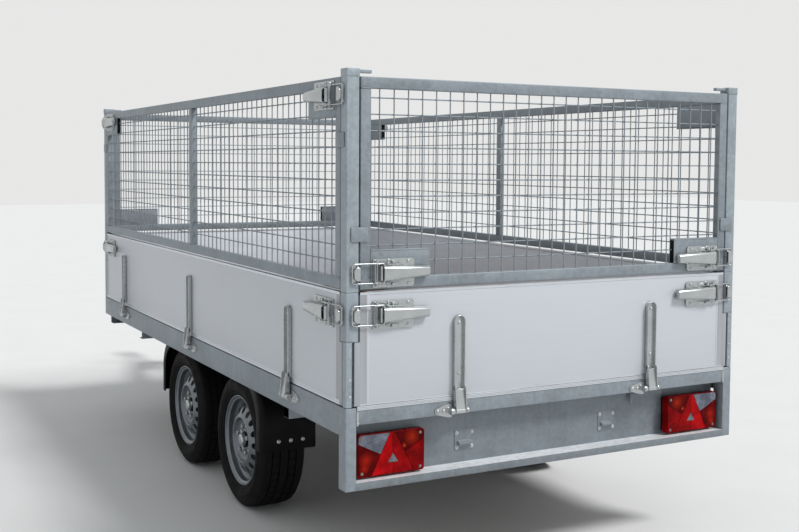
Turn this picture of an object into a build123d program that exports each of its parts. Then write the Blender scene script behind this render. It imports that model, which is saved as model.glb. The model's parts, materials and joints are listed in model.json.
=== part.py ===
from build123d import *
import os
from math import atan2, cos, sin

# Tandem-axle flatbed utility trailer with drop boards and a mesh cage.
# Millimetres. +X points forward to the coupling, +Y to the left, +Z up from the ground.
# The origin is on the ground, under the middle of the overall length and width.

# ---------------------------------------------------------------- bed and frame
bed_length = 3080.0         # rear face to front face of the bed
bed_width = 1580.0          # over the side rails and corner posts
steel = 3.0                 # wall of the rolled and folded sections
rail_height = 90.0          # side rail, a channel that opens inwards
rail_flange = 30.0
floor_thickness = 18.0
floor_gap = 0.3             # floor to the rails and posts round it
cross_height = 125.0        # cross members, channels under the floor
cross_flange = 45.0
rear_cross_setback = 520.0  # rear face of the bed to the rear cross member
front_cross_setback = 640.0     # front face of the bed to the forward cross member
front_beam_flange = 50.0

# ---------------------------------------------------------------- rear end
leg_width = 36.0            # corner legs below the bed, seen from behind
leg_depth = 50.0
rear_skirt = 257.0          # bed top to the foot of the legs and the lip
rear_rail_height = 54.0
lip_height = 22.0
light_panel_depth = 65.0
lamp_width = 236.0
lamp_height = 133.0
lamp_corner = 9.0
lamp_drop = 92.0            # bed top to the top of the lamp
lamp_side_gap = 14.0        # lamp to the corner leg
lamp_setback = 20.0         # lens face inside the rear face of the bed
lens_depth = 27.0
lamp_base_inset = 5.0       # black base inside the lens's outline
clip_width = 74.0           # spring clips for the number plate
clip_height = 64.0
clip_sheet = 2.5
clip_tongue = 15.0          # how far the tongue stands out
clip_tongue_width = 52.0
clip_drop = 158.0           # bed top to the clip's middle
clip_ys = (331.0, -257.0)
hanger_ys = (-497.0, -379.0)    # perforated strip below the rear rail
hanger_height = 26.0
hanger_depth = 16.0
hook_reach = 26.0           # hook at the strip's end
hook_drop = 44.0

# ---------------------------------------------------------------- corner posts
post_size = 42.0
post_wall = 3.0
cap_height = 23.0
cap_overhang = 4.0
cap_corner = 5.0
cap_arm_reach = 48.0
cap_arm_width = 16.0
cap_arm_height = 12.0

# ---------------------------------------------------------------- drop boards
wall_gap = 5.0              # boards and mesh frames to the posts and the bed
board_height = 348.0
board_thickness = 25.0
board_profile = 50.0        # upright end profile of a board
board_step = 1.0            # skins set back from the profiles
board_bead = 14.0           # lipped edges along the top and bottom
hinge_drop = 40.0           # hinge pin below the bed top
hinge_out = 18.0            # hinge pin outside the wall's face
hinge_pin = 6.0             # radius
hinge_clearance = 0.3
strap_width = 40.0
strap_depth = 15.0
strap_sheet = 2.5
strap_foot = 25.0           # bed top to the strap's square lower end
strap_top = 265.0           # bed top to the strap's rounded top
strap_off_board = 0.5       # ears to the board's face
knuckle = 11.0              # radius of the hinge eyes
bracket_gap = 3.0           # strap to the bracket beside it
bracket_length = 62.0
bracket_height = 44.0
bracket_sheet = 4.0
bracket_boss = 14.0         # length of the boss that holds the pin
pin_nut = 9.0               # radius
pin_nut_length = 7.0
side_strap_spread = 1097.0  # outer straps from the middle of a side board
end_strap_spread = 395.0    # straps from the middle of the rear and front boards

# ---------------------------------------------------------------- mesh cage
mesh_split = 8.0            # board top to the mesh frame
mesh_height = 644.0
mesh_bar = 35.0             # width of the frame bars, seen from outside
mesh_depth = 25.0           # depth of the frame bars
mesh_pitch = 50.0
wire = 4.0
wire_rise = 10.0            # level wires above the middle of the frame
layer_gap = 0.3             # between the upright and the level wires
pivot_pin = 6.0             # radius
pivot_clearance = 0.3
pivot_bite = 18.0           # pin inside the end bar
corner_plate_length = 206.0
corner_plate_height = 84.0  # above or below the frame bar
corner_plate_sheet = 3.0
tab_width = 58.0            # stop tab over the gap beside the post
tab_height = 45.0
tab_sheet = 4.0
tab_gap = 0.5
tab_inset = 10.0            # tab's root on the end bar
side_tab_drop = 190.0       # mesh top to the tab of a side frame
end_tab_rise = 168.0        # mesh foot to the tab of an end frame

# ---------------------------------------------------------------- latches
latch_plate = 140.0
latch_plate_height = 92.0
latch_corner = 8.0
latch_sheet = 3.0
latch_inset = 2.0           # latch plate from the end of its board or frame
latch_reach = 52.0          # outermost face of the handle from the wall's face
latch_pivot = 44.0          # end of the board to the handle's root
handle_length = 168.0
handle_root = 46.0          # height of the handle at its root
handle_tip = 28.0
handle_rise = 4.0           # tip's middle above the root's middle
handle_foot = 12.0          # root's open edge from the wall's face
handle_tip_foot = 20.0
handle_tip_fall = 6.0       # tip's face below the root's face
handle_round = 7.0
handle_sheet = 2.5
cheek_length = 74.0         # upright cheeks that hold the handle
cheek_height = 31.0
bail_wire = 3.2             # radius
bail_height = 54.0          # between the bail's two wires
bail_out = 24.0             # bail's wires from the wall's face
bail_bend = 8.0
bail_gap = 1.8              # keeper to the bail's end
keeper_inset = 2.0          # keeper from the post's edge
keeper_width = 30.0
keeper_height = 42.0
keeper_depth = 16.0
keeper_round = 7.0
board_latch_drop = 92.0     # board top to the latch's centre line
mesh_latch_rise = 53.0      # mesh frame's edge to the latch's centre line

# ---------------------------------------------------------------- running gear
wheel_radius = 262.5
tyre_width = 195.0
tyre_bead_radius = 166.0
tyre_shoulder = 13.0        # shoulder inside the tread and the full width
tread_edge = 38.0           # flat tread inside the full width
tread_drop = 4.0            # tread's fall towards the shoulder
bead_inset = 17.0           # tyre bead inside the rim's flange
bead_clearance = 0.3
rim_flange_radius = 177.0
rim_flange_width = 4.0
rim_width = 165.0
rim_sheet = 5.0
rim_seat_width = 22.0
rim_well_depth = 26.0
rim_well_width = 40.0
disc_sheet = 4.0
disc_crown_radius = 112.0   # outer edge of the disc's raised ring
disc_recess_radius = 80.0   # recess that takes the wheel bolts
disc_crown = 12.0           # raised ring outside the mounting face
hub_bore = 30.0             # radius of the disc's middle hole
vent_count = 16
vent_radius = 121.0
vent_length = 20.0
vent_width = 11.0
wheelbase = 700.0
rear_axle_setback = 1100.0  # rear face of the bed to the rear axle
hub_offset = 30.0           # wheel's mounting face outside its centre plane
drum_radius = 112.0
drum_width = 70.0
drum_wall = 8.0
drum_web = 12.0
backplate = 6.0
backplate_gap = 5.0         # brake backplate to the drum
hub_boss_radius = 45.0
hub_boss_inset = 10.0
dust_cap_radius = 29.5
dust_cap_length = 36.0
dust_cap_round = 9.0
bearing_clearance = 0.3
stub_radius = 25.0
stub_end_gap = 2.0          # stub axle's end to the drum's web
axle_tube = 80.0            # square torsion tube
arm_reach = 110.0           # stub axle behind the torsion tube
arm_thickness = 28.0
arm_gap = 16.0              # tyre to the suspension arm
arm_eye = 35.0              # radius round the stub axle
arm_hub = 44.0              # radius round the torsion tube
guard_clearance = 30.0      # tyre to the mudguard
guard_sheet = 4.0
guard_corner = 170.0        # radius of the mudguard's ends, seen from the side
guard_edge = 22.0           # radius along the mudguard's outer edge
guard_side_gap = 7.0        # tyre's outer face to the mudguard's side
guard_side = 45.0           # depth of the mudguard's side
guard_foot = 330.0          # ground to the mudguard's lower edge
guard_inner_margin = 16.0   # mudguard inside the tyre's inner face
guard_rail_gap = 4.5        # mudguard to the side rail's flange
guard_floor_gap = 38.0      # mudguard's crown to the floor
guard_notch_gap = 10.0      # mudguard to the notch's end in the cross member

# ---------------------------------------------------------------- drawbar and coupling
drawbar_reach = 1350.0      # front face of the bed to the coupling's nose
beam_width = 50.0
beam_height = 100.0
beam_wall = 4.0
beam_arm_gap = 30.5         # chassis beam to the suspension arm
beam_rear_setback = 560.0
beam_bend_setback = 350.0   # behind the bed's front face
head_reach = 950.0          # bed front to the drawbar's front end
head_spread = 72.0          # beam centre lines from the middle at the front
head_plate = 8.0
head_plate_length = 190.0
nose_plate = 6.0
overrun_radius = 30.0
overrun_length = 480.0
overrun_rear = 330.0        # drawbar's front end back to the housing's rear
saddle_length = 160.0
saddle_width = 80.0
saddle_flange = 10.0
brake_arm_setback = 222.0   # drawbar's front end to the brake arm
brake_arm_thickness = 14.0
brake_arm_width = 24.0
brake_rod_radius = 6.0
rod_lug_thickness = 10.0
rod_lug_width = 40.0
rod_lug_margin = 14.0       # lug above the rod
bellows_radius = 38.0
bellows_length = 60.0
bellows_ribs = 5
bellows_depth = 6.0
coupling_ball = 25.0        # radius of the towing ball
ball_clearance = 0.3
ball_setback = 48.0         # coupling's nose to the ball's middle
socket_depth = 11.0         # straight part of the socket, from its mouth
coupling_foot = 34.0        # overrun shaft's middle to the coupling's lower face
coupling_height = 64.0
coupling_nose = 40.0        # plan radius round the ball
coupling_round = 10.0
coupling_rear_width = 60.0
handle_setback = 96.0       # coupling's nose to its handle's root
coupling_handle = 120.0
coupling_handle_width = 34.0
coupling_handle_rise = 44.0
coupling_handle_sheet = 10.0
brake_lever_length = 430.0
brake_lever_width = 34.0
brake_lever_sheet = 12.0
brake_lever_setback = 45.0  # drawbar's front end to the lever's pivot
brake_lever_lean = 68.0     # lever's top behind its pivot
brake_lever_gap = 10.0      # overrun housing to the lever
grip_radius = 15.0
grip_length = 120.0
jockey_along = 620.0        # bed front to the jockey wheel's tube
jockey_standoff = 62.0      # beam face to the tube's centre line
jockey_tube = 24.0          # radius
jockey_clearance = 0.3
jockey_top = 800.0
jockey_foot = 236.0         # ground to the tube's lower end
jockey_radius = 100.0
jockey_width = 50.0
jockey_trail = 35.0
jockey_fork_gap = 6.0
clamp_wall = 10.0
clamp_height = 60.0
clamp_pad = 44.0
crank_spindle = 12.0        # radius
crank_rise = 40.0
crank_throw = 120.0
crank_bar = 10.0
crank_width = 16.0
crank_grip = 80.0
fork_sheet = 5.0
fork_crown_gap = 18.0       # tube's lower end to the fork's crown
fork_pin = 8.0              # radius
fork_stem = 16.0            # radius
fork_eye = 18.0             # radius
jockey_rim_radius = 62.0
jockey_hub_radius = 22.0
jockey_dish = 12.0          # how deep the wheel's sides are dished
jockey_tyre_round = 14.0

# ---------------------------------------------------------------- worked-out places
guard_radius = wheel_radius + guard_clearance
guard_top = wheel_radius + guard_radius + guard_sheet
bed_height = guard_top + guard_floor_gap + floor_thickness
overall_length = latch_reach + bed_length + drawbar_reach
rear_x = latch_reach - overall_length / 2
front_x = rear_x + bed_length
middle_x = rear_x + bed_length / 2
nose_x = front_x + drawbar_reach
half_width = bed_width / 2
board_top = bed_height + wall_gap + board_height
mesh_bottom = board_top + mesh_split
mesh_top = mesh_bottom + mesh_height
floor_bottom = bed_height - floor_thickness
cross_bottom = floor_bottom - cross_height
beam_bottom = cross_bottom - beam_height
beam_mid_z = beam_bottom + beam_height / 2
skirt_bottom = bed_height - rear_skirt
axle_z = beam_bottom - axle_tube / 2
axle_xs = [rear_x + rear_axle_setback, rear_x + rear_axle_setback + wheelbase]
inner_half = half_width - rail_flange
side_length = bed_length - 2 * (post_size + wall_gap)
end_length = bed_width - 2 * (post_size + wall_gap)
guard_outer_y = inner_half - guard_rail_gap
tyre_outer_y = guard_outer_y - guard_sheet - guard_side_gap
tyre_inner_y = tyre_outer_y - tyre_width
guard_inner_y = tyre_inner_y - guard_inner_margin
track = tyre_outer_y + tyre_inner_y
arm_inner = tyre_inner_y - arm_gap - arm_thickness
beam_spread = arm_inner - beam_arm_gap - beam_width / 2
head_x = front_x + head_reach
overrun_z = beam_bottom + beam_height + head_plate + overrun_radius
coupling_x = nose_x - ball_setback
coupling_low = overrun_z - coupling_foot

# Each wall of the load space has its own plane: local x along the wall, y up, z outwards,
# with the origin on the wall's outer face at the height of the bed's top.
# wall: plane, kind, side of each strap that its bracket is on
walls = {
    "left": (Plane((middle_x, half_width, bed_height), x_dir=(-1, 0, 0), z_dir=(0, 1, 0)), "side", 1),
    "right": (Plane((middle_x, -half_width, bed_height), x_dir=(1, 0, 0), z_dir=(0, -1, 0)), "side", -1),
    "rear": (Plane((rear_x, 0, bed_height), x_dir=(0, -1, 0), z_dir=(-1, 0, 0)), "end", -1),
    "front": (Plane((front_x, 0, bed_height), x_dir=(0, 1, 0), z_dir=(1, 0, 0)), "end", -1),
}
# kind: length, strap places, whether the mesh frame drops outwards from its foot
wall_kinds = {
    "side": (side_length, (-side_strap_spread, 0, side_strap_spread), True),
    "end": (end_length, (-end_strap_spread, end_strap_spread), False),
}

# Corner posts: places of their centre lines
post_xs = (rear_x + post_size / 2, front_x - post_size / 2)
post_ys = (half_width - post_size / 2, -half_width + post_size / 2)
post_places = [(x, y) for x in post_xs for y in post_ys]

# Heights above the bed top, as the walls' planes measure them
board_low = wall_gap
board_high = wall_gap + board_height
mesh_low = mesh_bottom - bed_height
mesh_high = mesh_top - bed_height
pivot_height = {True: mesh_low + mesh_bar / 2, False: mesh_high - mesh_bar / 2}
board_latch_height = board_high - board_latch_drop
mesh_latch_height = {True: mesh_high - mesh_latch_rise, False: mesh_low + mesh_latch_rise}

os.makedirs("parts", exist_ok=True)


def save(piece, name):
    """Label a finished part and write it as one STEP file."""
    piece.part.label = name
    export_step(piece.part, f"parts/{name}.step")


def block(xs, ys, zs, mode=Mode.ADD):
    """Box between three pairs of coordinates, in the active part."""
    centre = [(pair[0] + pair[1]) / 2 for pair in (xs, ys, zs)]
    sizes = [abs(pair[1] - pair[0]) for pair in (xs, ys, zs)]
    with Locations(tuple(centre)):
        Box(*sizes, mode=mode)


def rod(centre, length, radius, along, mode=Mode.ADD):
    """Round bar along x, y or z, in the active part."""
    turn = {"x": (0, 90, 0), "y": (90, 0, 0), "z": (0, 0, 0)}[along]
    with Locations(Location(centre, turn)):
        Cylinder(radius, length, mode=mode)


def around(middle, size):
    """Pair of coordinates either side of a middle."""
    return (middle - size / 2, middle + size / 2)


def channel(xs, ys, wall, open_side):
    """C section in the active sketch; open_side is +x or -x."""
    height = ys[1] - ys[0]
    with Locations((sum(xs) / 2, sum(ys) / 2)):
        Rectangle(xs[1] - xs[0], height)
    shift = wall if open_side == "+x" else -wall
    with Locations((sum(xs) / 2 + shift, sum(ys) / 2)):
        Rectangle(xs[1] - xs[0], height - 2 * wall, mode=Mode.SUBTRACT)


# ================================================================ bed frame
with BuildPart() as side_rails:
    with BuildSketch(Plane.YZ.offset(rear_x + leg_depth)):
        channel((inner_half, half_width), (bed_height - rail_height, bed_height), steel, "-x")
    extrude(amount=bed_length - leg_depth)
    mirror(about=Plane.XZ)
save(side_rails, "side_rails")

# The cross members stand on the beams; the middle one is notched over the wheels.
cross_xs = (
    rear_x + rear_cross_setback,
    sum(axle_xs) / 2 - cross_flange / 2,
    front_x - front_cross_setback,
)
with BuildPart() as cross_members:
    for cross_x in cross_xs:
        with BuildSketch(Plane.XZ.offset(-inner_half)):
            channel((cross_x, cross_x + cross_flange), (cross_bottom, floor_bottom), steel, "+x")
        extrude(amount=2 * inner_half)
    for side in (1, -1):
        block(
            around(sum(axle_xs) / 2, cross_flange + 2),
            (side * (guard_inner_y - guard_notch_gap), side * (inner_half + 1)),
            (cross_bottom - 1, guard_top),
            Mode.SUBTRACT,
        )
save(cross_members, "cross_members")

# Front beam: its flange carries the floor's front edge, its web rises to the bed top.
with BuildPart() as front_beam:
    with BuildSketch(Plane.XZ.offset(-inner_half)):
        channel((front_x - front_beam_flange, front_x), (cross_bottom, floor_bottom), steel, "-x")
        with Locations((front_x - steel / 2, (floor_bottom + bed_height) / 2)):
            Rectangle(steel, floor_thickness)
    extrude(amount=2 * inner_half)
save(front_beam, "front_beam")

rail_half = half_width - leg_width
with BuildPart() as rear_rail:
    with BuildSketch(Plane.XZ.offset(-rail_half)):
        with Locations((rear_x + light_panel_depth / 2, bed_height - rear_rail_height / 2)):
            Rectangle(light_panel_depth, rear_rail_height)
            Rectangle(light_panel_depth - 2 * steel, rear_rail_height - 2 * steel, mode=Mode.SUBTRACT)
    extrude(amount=2 * rail_half)
save(rear_rail, "rear_rail")

with BuildPart() as rear_legs:
    with BuildSketch(Plane.XY.offset(skirt_bottom)):
        with Locations((rear_x + leg_depth / 2, half_width - leg_width / 2)):
            Rectangle(leg_depth, leg_width)
            Rectangle(leg_depth - 2 * steel, leg_width - 2 * steel, mode=Mode.SUBTRACT)
    extrude(amount=rear_skirt)
    mirror(about=Plane.XZ)
save(rear_legs, "rear_legs")

# Folded panel behind the lamps: web, floor and a lip that hangs at the rear face, with the
# spring clips for the number plate and a hooked strip below the rail.
panel_top = bed_height - rear_rail_height
web_x = rear_x + light_panel_depth
face_x = web_x - steel
clip_z = bed_height - clip_drop
with BuildPart() as light_panel:
    with BuildSketch(Plane.XZ.offset(-rail_half)):
        with BuildLine():
            Polyline(
                (web_x, panel_top),
                (web_x, skirt_bottom + lip_height),
                (rear_x + steel, skirt_bottom + lip_height),
                (rear_x + steel, skirt_bottom),
                (rear_x, skirt_bottom),
                (rear_x, skirt_bottom + lip_height + steel),
                (face_x, skirt_bottom + lip_height + steel),
                (face_x, panel_top),
                close=True,
            )
        make_face()
    extrude(amount=2 * rail_half)
    for clip_y in clip_ys:
        block((face_x - clip_sheet, face_x), around(clip_y, clip_width), around(clip_z, clip_height))
        with BuildSketch(Plane.XZ.offset(-clip_y)):
            with BuildLine():
                Polyline((face_x, clip_z), (face_x - clip_tongue, clip_z - clip_tongue / 2),
                         (face_x - clip_tongue, clip_z - clip_tongue), (face_x, clip_z - clip_height / 4), close=True)
            make_face()
        extrude(amount=clip_tongue_width / 2, both=True)
    strip_z = panel_top - clip_sheet
    block((face_x - hanger_depth, face_x), hanger_ys, (strip_z - clip_sheet, strip_z))
    block((face_x - hanger_depth, face_x - hanger_depth + clip_sheet), hanger_ys, (strip_z - hanger_height, strip_z))
    block(
        (face_x - hanger_depth, face_x - hanger_depth + 2 * clip_sheet),
        (hanger_ys[1] - clip_sheet, hanger_ys[1] + hook_reach),
        (strip_z - hanger_height, strip_z - hanger_height / 2),
    )
    block(
        (face_x - hanger_depth, face_x - hanger_depth + 2 * clip_sheet),
        (hanger_ys[1] + hook_reach / 2, hanger_ys[1] + hook_reach),
        (strip_z - hanger_height - hook_drop / 2, strip_z - hanger_height),
    )
save(light_panel, "light_panel")

with BuildPart() as floor:
    block(
        (web_x + floor_gap, front_x - steel - floor_gap),
        (-inner_half + floor_gap, inner_half - floor_gap),
        (floor_bottom, bed_height),
    )
    for side in (1, -1):
        block(
            (front_x - post_size - floor_gap, front_x),
            (side * (half_width - post_size - floor_gap), side * half_width),
            (floor_bottom - 1, bed_height + 1),
            Mode.SUBTRACT,
        )
save(floor, "floor")


# ================================================================ corner posts
def posts(low, high, fittings):
    """Four square tubes between two heights, with what is welded to them."""
    with BuildPart() as tubes:
        with BuildSketch(Plane.XY.offset(low)):
            with Locations(post_places):
                Rectangle(post_size, post_size)
                Rectangle(post_size - 2 * post_wall, post_size - 2 * post_wall, mode=Mode.SUBTRACT)
        extrude(amount=high - low)
        add(fittings)
    return tubes


# Folded caps, each with an arm that reaches over the end frame's corner
cap_size = post_size + cap_overhang
with BuildPart() as post_caps:
    with BuildSketch(Plane.XY.offset(mesh_top)):
        with Locations(post_places):
            RectangleRounded(cap_size, cap_size, cap_corner)
    extrude(amount=cap_height)
    for x, y in post_places:
        inwards = -1 if y > 0 else 1
        block(
            around(x, cap_arm_width),
            (y, y + inwards * (post_size / 2 + cap_arm_reach)),
            (mesh_top + cap_height - cap_arm_height, mesh_top + cap_height - cap_arm_height / 6),
        )
save(post_caps, "post_caps")

# ================================================================ walls of the load space
lower_fittings = []
upper_fittings = []
brackets = []


def board(length):
    """Double-skinned board with upright end profiles and lipped long edges."""
    with BuildPart() as panel:
        block(around(0, length), (board_low, board_high), (board_step - board_thickness, -board_step))
        for side in (1, -1):
            block(
                (side * (length / 2 - board_profile), side * length / 2),
                (board_low, board_high),
                (-board_thickness, 0),
            )
        block(around(0, length), (board_low, board_low + board_bead), (-board_thickness, 0))
        block(around(0, length), (board_high - board_bead, board_high), (-board_thickness, 0))
    return panel


def straps(places):
    """Channel straps on a board's face, each with a sloping tongue and two eyes at its foot."""
    round_y = strap_top - strap_width / 2
    inner = strap_width / 2 - strap_sheet
    eye_y = -hinge_drop
    with BuildPart() as channels:
        for place in places:
            with BuildSketch():
                with Locations((place, (strap_foot + round_y) / 2)):
                    Rectangle(strap_width, round_y - strap_foot)
                with Locations((place, round_y)):
                    Circle(strap_width / 2)
            extrude(amount=strap_depth)
            with BuildSketch(Plane.XY.offset(strap_sheet)):
                with Locations((place, (strap_foot + round_y) / 2 - 1)):
                    Rectangle(2 * inner, round_y - strap_foot + 2)
                with Locations((place, round_y)):
                    Circle(inner)
            extrude(amount=strap_depth, mode=Mode.SUBTRACT)
            for ear_x in (place - strap_width / 2, place + inner):
                with BuildSketch(Plane.YZ.offset(ear_x)):
                    with Locations((strap_foot, (strap_off_board + strap_depth) / 2)):
                        Rectangle(strap_width / 2, strap_depth - strap_off_board)
                    with Locations((eye_y, hinge_out)):
                        Circle(knuckle)
                    make_hull()
                    with Locations((eye_y, hinge_out)):
                        Circle(hinge_pin + hinge_clearance, mode=Mode.SUBTRACT)
                extrude(amount=strap_sheet)
            with BuildSketch(Plane.YZ.offset(place - inner)):
                with BuildLine():
                    Polyline(
                        (strap_foot + strap_sheet, strap_sheet),
                        (strap_foot + strap_sheet, strap_depth),
                        (eye_y - knuckle / 2, hinge_out + knuckle - 1),
                        (eye_y - knuckle / 2, hinge_out + knuckle - 1 - strap_sheet),
                        (strap_foot, strap_depth - strap_sheet),
                        (strap_foot, strap_sheet),
                        close=True,
                    )
                make_face()
            extrude(amount=2 * inner)
    return channels


def hinge_brackets(plane, places, side):
    """Bolted brackets beside the straps, each with the pin that its strap turns on."""
    with BuildPart(plane) as fixed:
        for place in places:
            start = place + side * (strap_width / 2 + bracket_gap)
            far = start + side * bracket_length
            with BuildSketch(plane):
                with Locations((start + side * bracket_boss / 2, -hinge_drop)):
                    Rectangle(bracket_boss, bracket_height)
                with Locations((far - side * bracket_height / 4, -hinge_drop)):
                    Circle(bracket_height / 4)
                make_hull()
            extrude(amount=bracket_sheet)
            boss_x = start + side * bracket_boss / 2
            block(around(boss_x, bracket_boss), around(-hinge_drop, 2 * knuckle - 4), (bracket_sheet, hinge_out))
            rod((boss_x, -hinge_drop, hinge_out), bracket_boss, knuckle, "x")
            nut_near = place - side * (strap_width / 2 + bracket_gap)
            nut_far = nut_near - side * pin_nut_length
            rod(((start + nut_far) / 2, -hinge_drop, hinge_out), abs(start - nut_far), hinge_pin, "x")
            rod(((nut_near + nut_far) / 2, -hinge_drop, hinge_out), pin_nut_length, pin_nut, "x")
    return fixed


def latch():
    """Over-centre latch at the +x end of a wall: plate, cheeks, tapered handle and wire bail.

    The origin is on the wall's face at the board's end, at the latch's centre line.
    """
    plate_x = -latch_inset - latch_plate / 2
    root_x = -latch_pivot
    tip_x = root_x - handle_length
    tip_face = latch_reach - handle_tip_fall
    bail_end = wall_gap + keeper_inset + keeper_width + bail_gap + bail_wire
    bail_root = root_x - bail_wire
    # handle sections: x, middle in y, height, foot in z, face in z
    sections = (
        (root_x, 0, handle_root, handle_foot, latch_reach),
        (tip_x, handle_rise, handle_tip, handle_tip_foot, tip_face),
    )
    with BuildPart() as handle:
        for x, y, height, foot, face in sections:
            with BuildSketch(Plane.YZ.offset(x)):
                with Locations((y, (foot + face) / 2)):
                    RectangleRounded(height, face - foot, handle_round)
        loft()
        # hollow from its root and its wall side, with a closed tip
        for x, y, height, foot, face in sections:
            closed_end = handle_sheet if x == tip_x else -1
            with BuildSketch(Plane.YZ.offset(x + closed_end * (1 if x == tip_x else -1))):
                with Locations((y, (face - handle_sheet) / 2)):
                    Rectangle(height - 2 * handle_sheet, face - handle_sheet)
        loft(mode=Mode.SUBTRACT)
    with BuildPart() as closed:
        with BuildSketch():
            with Locations((plate_x, 0)):
                RectangleRounded(latch_plate, latch_plate_height, latch_corner)
        extrude(amount=latch_sheet)
        # cheeks either side of the handle's root, and the folded stop between them
        for side in (1, -1):
            cheek_y = side * (handle_root / 2 - handle_sheet / 2)
            with BuildSketch(Plane.XZ.offset(-cheek_y)):
                with BuildLine():
                    Polyline(
                        (-2 * latch_inset, latch_sheet), (-2 * latch_inset, cheek_height / 2),
                        (root_x, cheek_height), (root_x - cheek_length / 3, cheek_height),
                        (-2 * latch_inset - cheek_length, latch_sheet), close=True,
                    )
                make_face()
            extrude(amount=handle_sheet, both=True)
        block((root_x / 2, root_x / 2 + latch_sheet), around(0, handle_root), (latch_sheet, cheek_height))
        # pivot bar across the handle's root and the bail that it pulls
        rod((bail_root, 0, bail_out), bail_height + 2 * bail_wire, bail_wire + 2, "y")
        with BuildLine() as bail_path:
            FilletPolyline(
                (bail_root, bail_height / 2, bail_out),
                (bail_end, bail_height / 2, bail_out),
                (bail_end, -bail_height / 2, bail_out),
                (bail_root, -bail_height / 2, bail_out),
                radius=bail_bend,
            )
        with BuildSketch(Plane((bail_root, bail_height / 2, bail_out), z_dir=(1, 0, 0))):
            Circle(bail_wire)
        sweep(path=bail_path.line)
        add(handle.part)
    return closed


def latch_pair(height, length):
    """The same latch at both ends of a wall, mirrored, at one height."""
    with BuildPart() as pair:
        with Locations((length / 2, height, 0)):
            add(latch_shape.part)
        mirror(about=Plane.YZ)
    return pair


def latch_keepers(plane, length, height):
    """Keepers on the two posts beside a wall."""
    with BuildPart() as pair:
        with BuildSketch(plane):
            for side in (1, -1):
                with Locations((side * (length / 2 + wall_gap + keeper_inset + keeper_width / 2), height)):
                    RectangleRounded(keeper_width, keeper_height, keeper_round)
        extrude(amount=keeper_depth)
    return pair


def mesh_frame(length, drops):
    """Welded frame of flat bars with crossed wires, corner plates, stop tabs and pivot holes."""
    half = length / 2
    clear_half = half - mesh_bar
    low, high = mesh_low + mesh_bar, mesh_high - mesh_bar
    depth_middle = -mesh_depth / 2
    clear_length = 2 * clear_half
    middle_y = (low + high) / 2
    layer = (layer_gap + wire) / 2
    with BuildPart() as frame:
        with BuildSketch(Plane.XY.offset(-mesh_depth)):
            with Locations((0, middle_y)):
                Rectangle(length, mesh_height)
                Rectangle(clear_length, high - low, mode=Mode.SUBTRACT)
                if drops:
                    Rectangle(mesh_bar, high - low)
        extrude(amount=mesh_depth)
        # level wires inside, upright wires outside
        rows = int((high - low) // mesh_pitch)
        bays = 2 if drops else 1
        bay = (clear_length - (bays - 1) * mesh_bar) / bays
        with Locations((0, middle_y + wire_rise, depth_middle - layer)):
            with GridLocations(bay + mesh_bar, mesh_pitch, bays, rows):
                Box(bay, wire, wire)
        with Locations((0, middle_y, depth_middle + layer)):
            with GridLocations(bay + mesh_bar, mesh_pitch, bays, 1):
                with GridLocations(mesh_pitch, mesh_pitch, int(bay // mesh_pitch), 1):
                    Box(wire, high - low, wire)
        # stiffening plate behind the latch, stop tab over the gap beside the post
        plate = (high - corner_plate_height, high) if drops else (low, low + corner_plate_height)
        block((clear_half - corner_plate_length, clear_half), plate, (-corner_plate_sheet, 0))
        tab_y = mesh_high - side_tab_drop if drops else mesh_low + end_tab_rise
        root = clear_half + tab_inset
        block((root, root + tab_width), around(tab_y, tab_height), (tab_gap, tab_gap + tab_sheet))
        block((root, half - latch_inset), around(tab_y, tab_height), (0, tab_gap))
        bore = Location((half - pivot_bite / 2, pivot_height[drops], depth_middle), (0, 90, 0))
        with Locations(bore):
            Cylinder(pivot_pin + pivot_clearance, pivot_bite + 4, mode=Mode.SUBTRACT)
        split(bisect_by=Plane.YZ)
        mirror(about=Plane.YZ)
    return frame


def mesh_pivots(plane, length, height):
    """Pins that stand out of the posts into a mesh frame."""
    with BuildPart(plane) as pins:
        for side in (1, -1):
            post_face = side * (length / 2 + wall_gap)
            tip = side * (length / 2 - pivot_bite + 1)
            rod(((post_face + tip) / 2, height, -mesh_depth / 2), abs(post_face - tip), pivot_pin, "x")
    return pins


latch_shape = latch()
for kind, (length, places, drops) in wall_kinds.items():
    with BuildPart() as board_fittings:
        add(straps(places).part)
        add(latch_pair(board_latch_height, length).part)
    shapes = {
        "board": board(length),
        "board_fittings": board_fittings,
        "mesh": mesh_frame(length, drops),
        "mesh_latches": latch_pair(mesh_latch_height[drops], length),
    }
    for wall, (plane, wall_kind, bracket_side) in walls.items():
        if wall_kind != kind:
            continue
        for name, shape in shapes.items():
            with BuildPart() as placed:
                add(plane * shape.part)
            save(placed, f"{wall}_{name}")
        brackets.append(hinge_brackets(plane, places, bracket_side).part)
        lower_fittings.append(latch_keepers(plane, length, board_latch_height).part)
        upper_fittings.append(latch_keepers(plane, length, mesh_latch_height[drops]).part)
        upper_fittings.append(mesh_pivots(plane, length, pivot_height[drops]).part)

with BuildPart() as board_hinge_brackets:
    add(brackets)
save(board_hinge_brackets, "board_hinge_brackets")

save(posts(bed_height, board_top, lower_fittings), "lower_posts")
save(posts(board_top, mesh_top, upper_fittings), "upper_posts")

# ================================================================ drawbar and beams
bend_x = front_x - beam_bend_setback
beam_rear_x = rear_x + beam_rear_setback
arm_slope = (beam_spread - head_spread) / (head_x - bend_x)
arm_angle = atan2(beam_spread - head_spread, head_x - bend_x)


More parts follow.
